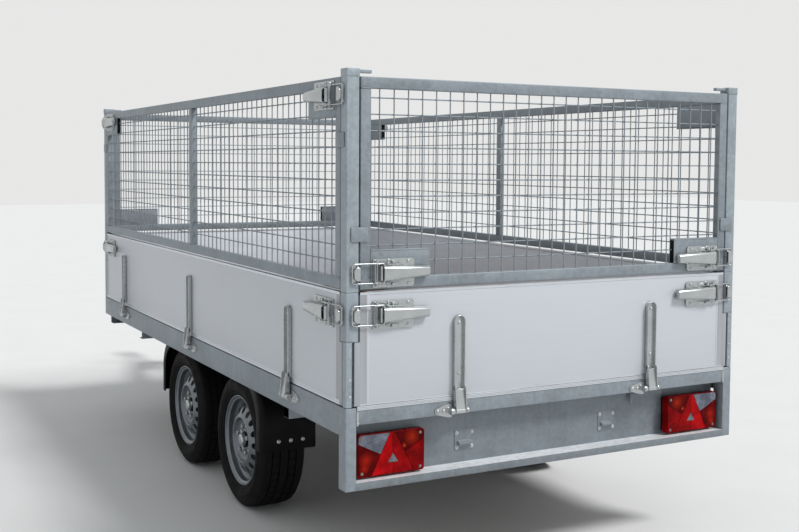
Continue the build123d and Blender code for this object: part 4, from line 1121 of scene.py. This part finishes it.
def latch_base():
    """Base plate with its middle pressed in, its guide plate and the bolted cradle in the handle's mouth."""
    base = block((-0.184, -0.044, 0), (-0.040, 0.044, PLATE_BACK))
    round_edges(base, runs(Z, lambda middle: middle.x < -0.1), 0.009, 5)
    round_edges(base, runs(Z, lambda middle: middle.x > -0.05), 0.003, 3)
    press(base, looks(Z), 0.0022, (0, 0, -0.0007))
    guide = block((-0.049, -0.030, LATCH_FOOT), (-0.0405, 0.030, 0.019))
    sink(guide, looks(Z), 0.0024, (0, 0, -0.009))
    cradle = block((-0.0665, -0.0235, LATCH_FOOT), (-0.0555, 0.0235, 0.0245))
    resize(cradle, looks(Z), (0.55, 0.9, 1), (-0.0655, 0, 0.0245))
    bolt = fastener("bolt", facing((-0.0525, 0, LATCH_FOOT)), 0.42)
    return [soften(base, 0.0009), soften(guide, 0.0008), soften(cradle, 0.0012), bolt]


def latch_side(side):
    """Cheek beside the handle, wedges that guide the bail, the pivot's nut and the base plate's screws."""
    # the cheek falls away towards the plate's far end
    cheek = block((-0.150, side * 0.0262, LATCH_FOOT), (-0.044, side * 0.0286, 0.0185))
    resize(cheek, lambda middle, normal: middle.x < -0.14, (1, 1, 0.10), (0, 0, PLATE_BACK), "VERT")
    shift(cheek, lambda place: place.x > -0.05 and place.z > 0.015, (0, 0, -0.004))
    parts = [soften(cheek, 0.0007)]
    for near, far, height in ((-0.104, -0.132, 0.0125), (-0.049, -0.062, 0.0150)):
        lug = block((far, side * 0.0292, LATCH_FOOT), (near, side * 0.0385, height))
        shift(lug, lambda place: place.x < far + 0.001 and place.z > 0.01, (0.003, 0, -0.005))
        parts.append(soften(lug, 0.0022, 3))
    parts.append(fastener("hex", facing((-0.088, side * 0.0284, 0.0105), (0, side, 0)), 0.86))
    for x, y in ((-0.163, 0.0345), (-0.094, 0.0385)):
        parts.append(fastener("screw", facing((x, side * y, PLATE_BACK - 0.0007))))
    return parts


def bail():
    """Wire bail from the pivot round the keeper."""
    half, end, bend, low = 0.0300, 0.0300, 0.009, 0.0075
    pivot_x, pivot_z = PIVOT
    points = [(pivot_x, half, pivot_z)]
    for step in range(BEND_STEPS + 1):
        turn = math.radians(90 * (1 - step / BEND_STEPS))
        points.append((end - bend + bend * math.cos(turn), half - bend + bend * math.sin(turn), low))
    points += [(x, -y, z) for x, y, z in reversed(points)]
    curve = bpy.data.curves.new("bail_wire", "CURVE")
    curve.dimensions = "3D"
    line = curve.splines.new("POLY")
    line.points.add(len(points) - 1)
    for point, place in zip(line.points, points):
        point.co = (*place, 1)
    curve.bevel_depth = BAIL_WIRE
    curve.bevel_resolution = 3
    curve.use_fill_caps = True
    only(added("bail_wire", curve))
    bpy.ops.object.convert(target="MESH")
    return outwards(bpy.context.object)


def latch():
    """Closed over-centre latch at the +x end of a wall."""
    pivot_x, pivot_z = PIVOT
    pin = rod((pivot_x, -PIN_HALF, pivot_z), (pivot_x, PIN_HALF, pivot_z), PIVOT_RADIUS)
    return joined([latch_handle(), *latch_base(), *latch_side(1), *latch_side(-1), pin, bail()])


def keeper():
    """Hooked keeper on a post with its lip curled over towards the bail's end."""
    near, far, rise, half = POST_GAP, POST_GAP + 0.0215, 0.0165, 0.021
    base = round_edges(block((near + 0.0006, -0.027, 0), (far, 0.027, 0.0022)), runs(Z), 0.004)
    hook = block((near + 0.001, -half, 0.0015), (far, half, rise))
    # the far corners are rounded like a D and the outer edge rolls over
    round_edges(hook, runs(Z, lambda middle: middle.x > far - 0.002), 0.0125, 7)
    press(hook, looks(Z), 0.0034, (-0.0004, 0, 0.0014))
    sink(hook, looks(X, -1), 0.0026, (0.014, 0, 0))
    parts = [soften(hook, 0.0014, 3, 50), soften(base, 0.0007)]
    for side in (1, -1):
        # gusset beside the hook, sloping down to the post
        gusset = block((near + 0.002, side * 0.0205, 0.001), (near + 0.010, side * 0.0265, 0.011))
        shift(gusset, lambda place: abs(place.y) > 0.026 and place.z > 0.01, (0, 0, -0.007))
        parts.append(soften(gusset, 0.0008))
    return joined(parts)


STRAP_TOP, STRAP_FOOT, STRAP_HALF, STRAP_DEPTH = 0.265, 0.025, 0.020, 0.015
STRAP_RIM, STRAP_HOLLOW = 0.0032, 0.0118
STRAP_SCREWS = (0.240, 0.078)    # up from the bed
TONGUE_HALF = 0.0172
EYE = (-0.040, 0.018)        # up from the bed and out from the wall


def strap():
    """Channel strap on a board with its tongue and eyes, x = 0 on its middle."""
    shell = block((-STRAP_HALF, STRAP_FOOT, 0.0002), (STRAP_HALF, STRAP_TOP, STRAP_DEPTH))
    round_edges(shell, runs(Z, lambda middle: middle.y > 0.1), 0.0195, 10)
    sink(shell, looks(Z), STRAP_RIM, (0, 0, -STRAP_HOLLOW))
    # a raised field along the channel's floor
    press(shell, lambda middle, normal: looks(Z)(middle, normal) and middle.z < 0.006, 0.0052, (0, 0, 0.003))
    parts = [soften(shell, 0.0011, 3, 50)] + [fastener("screw", facing((0, y, 0.006))) for y in STRAP_SCREWS]
    # tongue that slopes out over the hinge pin, its free end curled back
    tongue = block((-TONGUE_HALF, -0.047, 0.0245), (TONGUE_HALF, 0.0275, 0.0270))
    shift(tongue, lambda place: place.y > 0.02, (0, 0, -0.0122))
    parts.append(soften(tongue, 0.0009))
    for side in (1, -1):
        # ear round the hinge pin, drawn up to the shell
        ear = rod((side * STRAP_HALF, *EYE), (side * (STRAP_HALF - 0.0026), *EYE), 0.011, 24)
        resize(ear, lambda place, normal: place.y > -0.036, (1, 1, 0.72), (0, 0, 0.0085), "VERT")
        shift(ear, lambda place: place.y > -0.036, (0, 0.070, 0))
        parts.append(soften(ear, 0.0007, 2, 50))
    parts.append(rod((-TONGUE_HALF, *EYE), (TONGUE_HALF, *EYE), 0.0085, 16))
    return joined(parts)


class TRAILER_OT_latches(bpy.types.Operator):
    """Build the over-centre latches, their keepers and the hinge straps"""

    bl_idname = "trailer.latches"
    bl_label = "Latches and Straps"

    def execute(self, context):
        latch_shape, strap_shape, keeper_shape = latch(), strap(), keeper()
        keepers = []
        for name, wall in WALLS.items():
            matrix = wall_matrix(name)
            board_y = BOARD_HIGH - BOARD_LATCH_DROP
            mesh_y = MESH_HIGH - MESH_LATCH_DROP if wall.drops else MESH_LOW + MESH_LATCH_RISE
            straps = [placed(strap_shape, matrix @ Matrix.Translation((x, 0, 0))) for x in wall.straps]
            for y, others, title, body, node in (
                    (board_y, straps, "straps_and_latches", "board", "board_fittings"),
                    (mesh_y, [], "cage_latches", "mesh", "mesh_latches")):
                end = Matrix.Translation((wall.length / 2, y, 0))
                stands = [matrix @ end, matrix @ Matrix.Scale(-1, 4, (1, 0, 0)) @ end]
                latches = [placed(latch_shape, stand) for stand in stands]
                keepers += [placed(keeper_shape, stand) for stand in stands]
                piece = painted(joined(others + latches, f"{name}_{title}"), bright_zinc())
                finish(piece, f"{name}_{body}", "zinc_plate", [f"{name}_{node}"])
        finish(painted(joined(keepers, "latch_keepers"), bright_zinc()), "chassis", "zinc_plate")
        discard(latch_shape, strap_shape, keeper_shape)
        return {"FINISHED"}


# ------------------------------------------------------------------ wheels
WHEEL_SEGMENTS = 96
VENTS = 16
VENT_CIRCLE = 0.1180
VENT_RADIUS = 0.0120
VENT_STRETCH = (1.16, 1, 1)  # the vents are longer from hub to rim than across
WHEEL_BOLTS = 5
BOLT_CIRCLE = 0.054
BOLT_HEIGHT = 0.0585
RIM_SHEET, DISC_SHEET = 0.0032, 0.0036

# Profiles are (radius, height outside the wheel's centre plane) in millimetres.
# Tyre: from inside the bead, up the side wall and over the shoulder to the tread's middle
TYRE_SIDE = mm(
    (166, 56), (166, 65), (170, 71), (176, 77), (181, 81.5), (184, 84), (186.5, 87), (189.5, 87.8),
    (191, 86.9), (197, 91.2), (198.5, 93.0), (201, 93.4), (202.5, 92.6), (209, 96.2), (215, 97.3),
    (221, 96.8), (226, 95.2), (227.5, 95.9), (229.5, 95.3), (231, 93.7), (238, 90.6), (244, 87.6),
    (249.5, 84), (253, 81.4), (256.5, 78), (258.6, 74), (259.8, 66), (260.7, 58), (261.2, 51),
    (254.5, 49.5), (254.5, 46.5), (261.6, 45), (262.1, 33), (262.4, 21), (255.3, 19.5), (255.3, 15.5),
    (262.5, 14), (262.5, 5))
# Tyre's inside: from the other bead up to the tread
TYRE_INSIDE = mm((172, -58), (190, -74), (215, -86), (238, -80), (247, -66))
# Rim: from the outer flange's back over its rolled edge down to the well
BARREL_SIDE = mm(
    (177.0, 79.8), (176.8, 81.6), (175.2, 82.5), (173.0, 82.2), (171.2, 80.2), (169.8, 76.8),
    (167.4, 74.4), (163.5, 73.2), (161.2, 71.6), (160.7, 67), (160.7, 53), (159.2, 50), (155, 46),
    (143, 31), (138.5, 24.5), (135.4, 20.5), (134.7, 17))
# Disc: from the well over the vents and the raised ring, down into the recess and in to the hub's bore
DISC_FACE = mm(
    (136.6, 44), (135.6, 50), (133.2, 55.5), (129.0, 60), (123, 64), (116, 67.6), (109, 71), (102, 75),
    (96, 78.6), (92, 79.8), (88.6, 79.4), (86.2, 77), (84.4, 72), (82.0, 66), (78.5, 62), (73, 60),
    (45, 58.6), (38, 59), (33.5, 59.8), (31.0, 59.0), (30.2, 56.8))
# Spacer between the hub's face and the disc's recess, and the cap over the hub's end
SPACER = mm((61, 29), (61, 55.2), (33, 55.2), (33, 29))
HUB_FOOT = mm((31, 58), (31, 63.5), (28.5, 66.5), (20, 67))
HUB_CAP = mm((24.5, 60), (24.5, 76), (23.6, 79.2), (20.5, 81.6), (12, 82.4), (6, 82.5))
BOLT_COLLAR = mm((13.2, 0), (13.2, 1.6), (12.2, 3.6), (10.4, 5.0))


def both_sides(profile):
    """Profile continued on the wheel's other side."""
    return profile + [(radius, -height) for radius, height in reversed(profile)]


def tyre():
    """Tyre round z with side wall rings, four grooves and slots across its ribs."""
    ring = turned(both_sides(TYRE_SIDE) + both_sides(TYRE_INSIDE), WHEEL_SEGMENTS, closed=True)
    step = math.tau / WHEEL_SEGMENTS

    def crosses_rib(middle, normal):
        index = math.floor(math.atan2(middle.y, middle.x) / step)
        on_tread = middle.xy.length > 0.257 and middle.xy.dot(normal.xy) > 0.2
        turn = index + (abs(middle.z) > 0.05) + (middle.z > 0)
        return on_tread and 0.0215 < abs(middle.z) < 0.075 and turn % 2 == 0

    with editing(ring, crosses_rib):
        bpy.ops.mesh.inset(thickness=0.0035, depth=0, use_individual=True)
        bpy.ops.mesh.extrude_faces_move(TRANSFORM_OT_shrink_fatten={"value": -sizes().tread_groove * 0.7})
    return painted(ring, tyre_rubber())


def wheel_bolt():
    """Wheel bolt: collar, hexagon head and a hollow in its end."""
    head = rod((0, 0, 0.0045), (0, 0, 0.0175), 0.0098, 6)
    sink(head, looks(Z), 0.0034, (0, 0, -0.005))
    return joined([turned(BOLT_COLLAR, 20), soften(head, 0.0009, 2)])


def rim():
    """Pressed steel wheel round z: rolled barrel, vented disc with a raised ring, bolts and valve."""
    barrel = sheet_ring(both_sides(BARREL_SIDE), RIM_SHEET, WHEEL_SEGMENTS)
    disc = sheet_ring(DISC_FACE, DISC_SHEET, WHEEL_SEGMENTS)
    vent = rod((0, 0, 0.040), (0, 0, 0.090), VENT_RADIUS, 20)
    vent.scale = VENT_STRETCH
    settle(vent)
    cut(disc, joined(circled(vent, VENTS, VENT_CIRCLE)))
    bolt = wheel_bolt()
    valve = [rod((0.149, 0, 0.046), (0.145, 0, 0.068), 0.0052, 14),
             rod((0.1452, 0, 0.0675), (0.1437, 0, 0.0745), 0.0040, 12)]
    parts = [
        painted(joined([barrel, disc]), wheel_silver()),
        painted(turned(SPACER, 48, closed=True), hub_casting()),
        painted(turned(HUB_FOOT, 40), black_plastic()),
        painted(turned(HUB_CAP, 40), bright_zinc()),
        painted(joined(circled(bolt, WHEEL_BOLTS, BOLT_CIRCLE, BOLT_HEIGHT, 0.25)), bright_zinc()),
        painted(soften(joined(valve), 0.0010, 2), black_rubber()),
    ]
    discard(vent, bolt)
    return joined(parts)


def finish_hub(node, centre):
    """Hub with the end of its cap, beyond the brake drum's face, in black plastic."""
    hub = softened_copy(node, 0.0015, f"{node}_capped")
    painted(hub, hub_casting(), black_plastic())
    face = abs(centre.y) + 0.031
    paint_faces(hub, 1, lambda middle, normal: abs(middle.y) > face
                and math.hypot(middle.x - centre.x, middle.z - centre.z) < 0.0305)
    finish(hub, body_of(node), "hub_metal", [node], 35)


class TRAILER_OT_wheels(bpy.types.Operator):
    """Build the tyres, the vented rims with their bolts and the hubs with their caps"""

    bl_idname = "trailer.wheels"
    bl_label = "Wheels"

    def execute(self, context):
        tyre_shape, rim_shape = tyre(), rim()
        for place, side in (("front_left", 1), ("front_right", -1), ("rear_left", 1), ("rear_right", -1)):
            low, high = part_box(f"tyre_{place}")
            centre = (low + high) / 2
            for kind, shape, slot in (("tyre", tyre_shape, "tyre"), ("rim", rim_shape, "wheel_paint")):
                piece = placed(shape, facing(centre, (0, side, 0)))
                piece.name = f"{kind}_{place}_shaped"
                finish(piece, body_of(f"tyre_{place}"), slot, [f"{kind}_{place}"], 35)
            finish_hub(f"hub_{place}", centre)
        discard(tyre_shape, rim_shape)
        return {"FINISHED"}


# ------------------------------------------------------------------ mudguards
GUARD_SKIRT = 0.048          # how far the mudguards' feet are drawn down
GUARD_BOLT_PLACES = (0.684, 0.635, 0.586)    # from the trailer's middle
GUARD_BOLT_RISE = 0.036      # above the feet


class TRAILER_OT_mudguards(bpy.types.Operator):
    """Round the mudguards' edges, draw their feet down and bolt them on"""

    bl_idname = "trailer.mudguards"
    bl_label = "Mudguards"

    def execute(self, context):
        for hand, side in (("left", 1), ("right", -1)):
            node = f"mudguard_{hand}"
            low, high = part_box(node)
            guard = softened_copy(node, 0.0012, f"{node}_moulded")
            shift(guard, lambda place: place.z < low.z + 0.002, (0, 0, -GUARD_SKIRT))
            painted(guard, black_plastic())
            height = low.z - GUARD_SKIRT + GUARD_BOLT_RISE
            bolts = [fastener("bolt", facing((x, side * y, height), (way, 0, 0)), 0.66)
                     for x, way in ((low.x, -1), (high.x, 1)) for y in GUARD_BOLT_PLACES]
            bolts = painted(joined(bolts), bright_zinc())
            finish(joined([guard, bolts]), "chassis", "black_plastic", [node], 35)
        return {"FINISHED"}


# ------------------------------------------------------------------ lamps
LAMP_WIDTH = 0.236
LAMP_DEPTH = 0.027
BASE_INSET = 0.005
FIELD_BACK, FIELD_FRONT, GLINT_FRONT = -0.0012, 0.00076, 0.00116    # out from the lamp's face
# Fields of a lens as (from its inner edge, up from its foot), in parts of its width and height
LENS_FIELDS = {
    "triangle_left": (
        (0.160, 0.02), (0.478, 0.02), (0.478, 0.275), (0.393, 0.275), (0.476, 0.507), (0.482, 0.985),
        (0.450, 0.985)),
    "triangle_right": (
        (0.481, 0.02), (0.790, 0.02), (0.520, 0.985), (0.485, 0.985), (0.479, 0.507), (0.557, 0.275),
        (0.481, 0.275)),
    "window": ((0.399, 0.283), (0.551, 0.283), (0.4775, 0.495)),
    "clear": ((0.526, 0.985), (0.662, 0.505), (0.985, 0.79), (0.985, 0.93), (0.955, 0.985)),
    "turn": ((0.443, 0.985), (0.045, 0.985), (0.015, 0.93), (0.015, 0.775), (0.298, 0.505)),
    "turn_glint": ((0.300, 0.600), (0.330, 0.625), (0.315, 0.665), (0.285, 0.650)),
    "stop": ((0.015, 0.755), (0.292, 0.489), (0.154, 0.02), (0.045, 0.02), (0.015, 0.075)),
    "tail": ((0.670, 0.488), (0.797, 0.02), (0.955, 0.02), (0.985, 0.075), (0.985, 0.768)),
}
# Material of each field and of the rim: name, factor of the lens red or a colour of its own, prisms along a
# metre, strength of their relief. The reflector triangle's halves are a painted shaded and a painted lit copy
# of one red, and the rim's lighter red is in part a painted reflection of the sky along its top.
LENS_FINISHES = {
    "triangle_left": ("reflector_red_painted_shade", 0.72, 520, 0.5),
    "triangle_right": ("reflector_red_lit", 1.15, 520, 0.5),
    "window": ("window_grey", (0.15, 0.16, 0.18), 300, 0.2),
    "clear": ("reversing_clear", (0.15, 0.165, 0.205), 260, 0.25),
    "turn": ("turn_field", 0.26, 340, 0.5),
    "turn_glint": ("turn_glint", (0.50, 0.045, 0.008), 340, 0.5),
    "stop": ("stop_field", 0.62, 420, 0.4),
    "tail": ("tail_field", 0.30, 420, 0.4),
    "rim": ("lamp_rim", 0.55, 420, 0.2),
}
# Painted glints on a field: colour, then places from the lamp's inner edge and foot and radii in metres
PAINTED_GLINTS = {
    "turn": ((0.30, 0.018, 0.004), ((0.19, 0.83, 0.030), (0.31, 0.645, 0.011))),
    "tail": ((0.34, 0.012, 0.004), ((0.90, 0.20, 0.018), (0.88, 0.40, 0.028))),
}


def lens(field, inner, low, height):
    """Material of a field of a lens whose lamp has this inner edge, foot and height."""
    name, base, grain, strength = LENS_FINISHES[field]
    if isinstance(base, float):
        base = shade(colours().lens, base)
    # painted glints of the field, if it has any
    glint_colour, places = PAINTED_GLINTS.get(field, (None, ()))
    spots = [(inner + u * LAMP_WIDTH, low + v * height, radius) for u, v, radius in places]
    return material(name, moulded_lens, base, grain, strength, glint_colour, spots)


def lamp(low, high):
    """Rear lamp in a box of the frame: x from its inner edge, y from its foot, z = 0 on its face."""
    width, height, back = LAMP_WIDTH, high.z - low.z, low.x - high.x
    place = (high.y - LAMP_WIDTH, low.z, height)
    body = round_edges(block((0, 0, -LAMP_DEPTH), (width, height, 0)), runs(Z), 0.009, 6)
    press(body, looks(Z), 0.0022, (0, 0, -0.0012))
    base = slab((BASE_INSET, BASE_INSET, back),
                (width - BASE_INSET, height - BASE_INSET, 0.0005 - LAMP_DEPTH), 0.004, 3)
    parts = [painted(soften(body, 0.0014, 3), lens("rim", *place)), painted(base, black_plastic())]
    for name, corners in LENS_FIELDS.items():
        points = [(u * width, v * height) for u, v in corners]
        field = plate(points, FIELD_BACK, GLINT_FRONT if name == "turn_glint" else FIELD_FRONT)
        parts.append(painted(soften(field, 0.0003, 1), lens(name, *place)))
    for u in (0.065, 0.935):
        for v in (0.09, 0.91):
            screw = fastener("screw", facing((u * width, v * height, 0.0004)), 0.72)
            parts.append(painted(screw, hub_casting()))
    return joined(parts)


class TRAILER_OT_lamps(bpy.types.Operator):
    """Build the rear lamps with their reflector triangles and lens fields"""

    bl_idname = "trailer.lamps"
    bl_label = "Rear Lamps"

    def execute(self, context):
        low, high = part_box("tail_lamps")
        pattern = lamp(low, high)
        lamps = []
        for side in (1, -1):
            matrix = Matrix(((0, 0, -1), (side, 0, 0), (0, 1, 0))).to_4x4()
            matrix.translation = (low.x, side * (high.y - LAMP_WIDTH), low.z)
            lamps.append(placed(pattern, matrix))
        finish(joined(lamps, "rear_lamps"), "chassis", "lamp_red", ["tail_lamps"], 30)
        discard(pattern)
        return {"FINISHED"}


# ------------------------------------------------------------------ small steel parts
CLIP_PLACES = (0.331, -0.257)        # number plate clips, from the trailer's middle
CLIP_HEIGHT = 0.457
CLIP_SCREWS = (0.029, 0.024)         # screws from a clip's middle, across and up
PANEL_FACE = 0.0055                  # from the front of the light panel's box back to its face
RAIL_END = 0.007                     # width of the rear rail's end plates
BRACKET_BOLTS = (0.052, 0.074)       # bolts of a hinge bracket, from its strap's middle
POST_BOLT_PLACE = HALF_WIDTH - 0.0135
POST_BOLT_HEIGHTS = (0.700, 0.649)
REARWARDS = (-1, 0, 0)


def light_panel():
    """Light panel with the screws of its number plate clips, painted darker for its shade, its upper faces
    painted light for the sunlight on them.
    """
    panel = softened_copy("light_panel", 0.0008, "light_panel_folded")
    painted(panel, painted_shade_galvanised(), painted_sunlit_galvanised())
    # upward faces take the painted sunlit highlight
    paint_faces(panel, 1, looks(Z))
    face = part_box("light_panel")[1].x - PANEL_FACE
    across, up = CLIP_SCREWS
    screws = [fastener("screw", facing((face, y + dy, CLIP_HEIGHT + dz), REARWARDS))
              for y in CLIP_PLACES for dy in (-across, across) for dz in (-up, up)]
    screws = painted(joined(screws), bright_zinc())
    finish(joined([panel, screws]), "chassis", "galvanised_steel", ["light_panel"], 30)


def rail_ends():
    """End plates of the rear rail beside the legs, each with a bolt."""
    low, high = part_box("rear_rail")
    ends = []
    for side in (1, -1):
        edge = side * high.y
        ends.append(slab((low.x - 0.0016, edge, low.z - 0.002),
                         (low.x + 0.001, edge - side * RAIL_END, high.z - 0.012), 0.0006))
        place = (low.x - 0.0014, edge - side * 0.004, low.z + 0.006)
        ends.append(fastener("screw", facing(place, REARWARDS), 0.7))
    return ends


def bracket_bolts():
    """Two domed bolts in each hinge bracket."""
    bolts = []
    for name, wall in WALLS.items():
        for place in wall.straps:
            for along in BRACKET_BOLTS:
                stand = wall_matrix(name) @ facing((place + wall.bracket_side * along, -0.040, 0.004))
                bolts.append(fastener("bolt", stand, 0.85))
    return bolts


def post_bolts():
    """Small bolts in the lower posts' end faces."""
    return [fastener("screw", facing((x - way * 0.0003, y, z), (way, 0, 0)), 0.75)
            for x, way in ((REAR_X, -1), (FRONT_X, 1))
            for y in (-POST_BOLT_PLACE, POST_BOLT_PLACE) for z in POST_BOLT_HEIGHTS]


class TRAILER_OT_rear_details(bpy.types.Operator):
    """Screw the clips on, close the rear rail's ends, bolt the hinge brackets and cap the posts"""

    bl_idname = "trailer.rear_details"
    bl_label = "Rear Details"

    def execute(self, context):
        light_panel()
        for name, parts in (("rear_rail_ends", rail_ends()), ("hinge_bracket_bolts", bracket_bolts()),
                            ("lower_post_bolts", post_bolts())):
            finish(painted(joined(parts, name), bright_zinc()), "chassis", "zinc_plate")
        # the caps are painted lighter for the light they catch
        caps = painted(softened_copy("post_caps", 0.0028, "post_caps_folded"), painted_lit_galvanised())
        finish(caps, "chassis", "galvanised_steel", ["post_caps"], 35)
        return {"FINISHED"}


# ------------------------------------------------------------------ add-on
OPERATORS = (
    TRAILER_OT_stage, TRAILER_OT_steelwork, TRAILER_OT_corner_posts, TRAILER_OT_plated_parts,
    TRAILER_OT_boards, TRAILER_OT_mesh_frames, TRAILER_OT_latches, TRAILER_OT_wheels, TRAILER_OT_mudguards,
    TRAILER_OT_lamps, TRAILER_OT_rear_details,
)
# CAD nodes that stay as the frame gives them
PLAIN_NODES = {"floor": plywood, "bellows": black_rubber, "jockey_wheel": black_rubber}


class TRAILER_PT_sidebar(bpy.types.Panel):
    """Trailer operators and sizes in the sidebar"""

    bl_label = "Trailer"
    bl_idname = "TRAILER_PT_sidebar"
    bl_space_type = "VIEW_3D"
    bl_region_type = "UI"
    bl_category = "Trailer"

    def draw(self, context):
        layout = self.layout
        for group in (context.scene.trailer_sizes, context.scene.trailer_colours):
            for name in group.bl_rna.properties.keys():
                if name not in ("rna_type", "name"):
                    layout.prop(group, name)
        for operator in OPERATORS:
            layout.operator(operator.bl_idname)


CLASSES = (TrailerSizes, TrailerColours, *OPERATORS, TRAILER_PT_sidebar)


def register():
    for item in CLASSES:
        bpy.utils.register_class(item)
    bpy.types.Scene.trailer_sizes = bpy.props.PointerProperty(type=TrailerSizes)
    bpy.types.Scene.trailer_colours = bpy.props.PointerProperty(type=TrailerColours)


def unregister():
    del bpy.types.Scene.trailer_sizes
    del bpy.types.Scene.trailer_colours
    for item in reversed(CLASSES):
        bpy.utils.unregister_class(item)


def main():
    """Build the trailer."""
    register()
    for operator in OPERATORS:
        module, name = operator.bl_idname.split(".")
        getattr(getattr(bpy.ops, module), name)()
    for node, node_coat in PLAIN_NODES.items():
        painted(frame["nodes"][node], node_coat())
    discard(*(bpy.data.objects[f"{kind}_pattern"] for kind in FASTENERS))


if __name__ == "__main__":
    main()
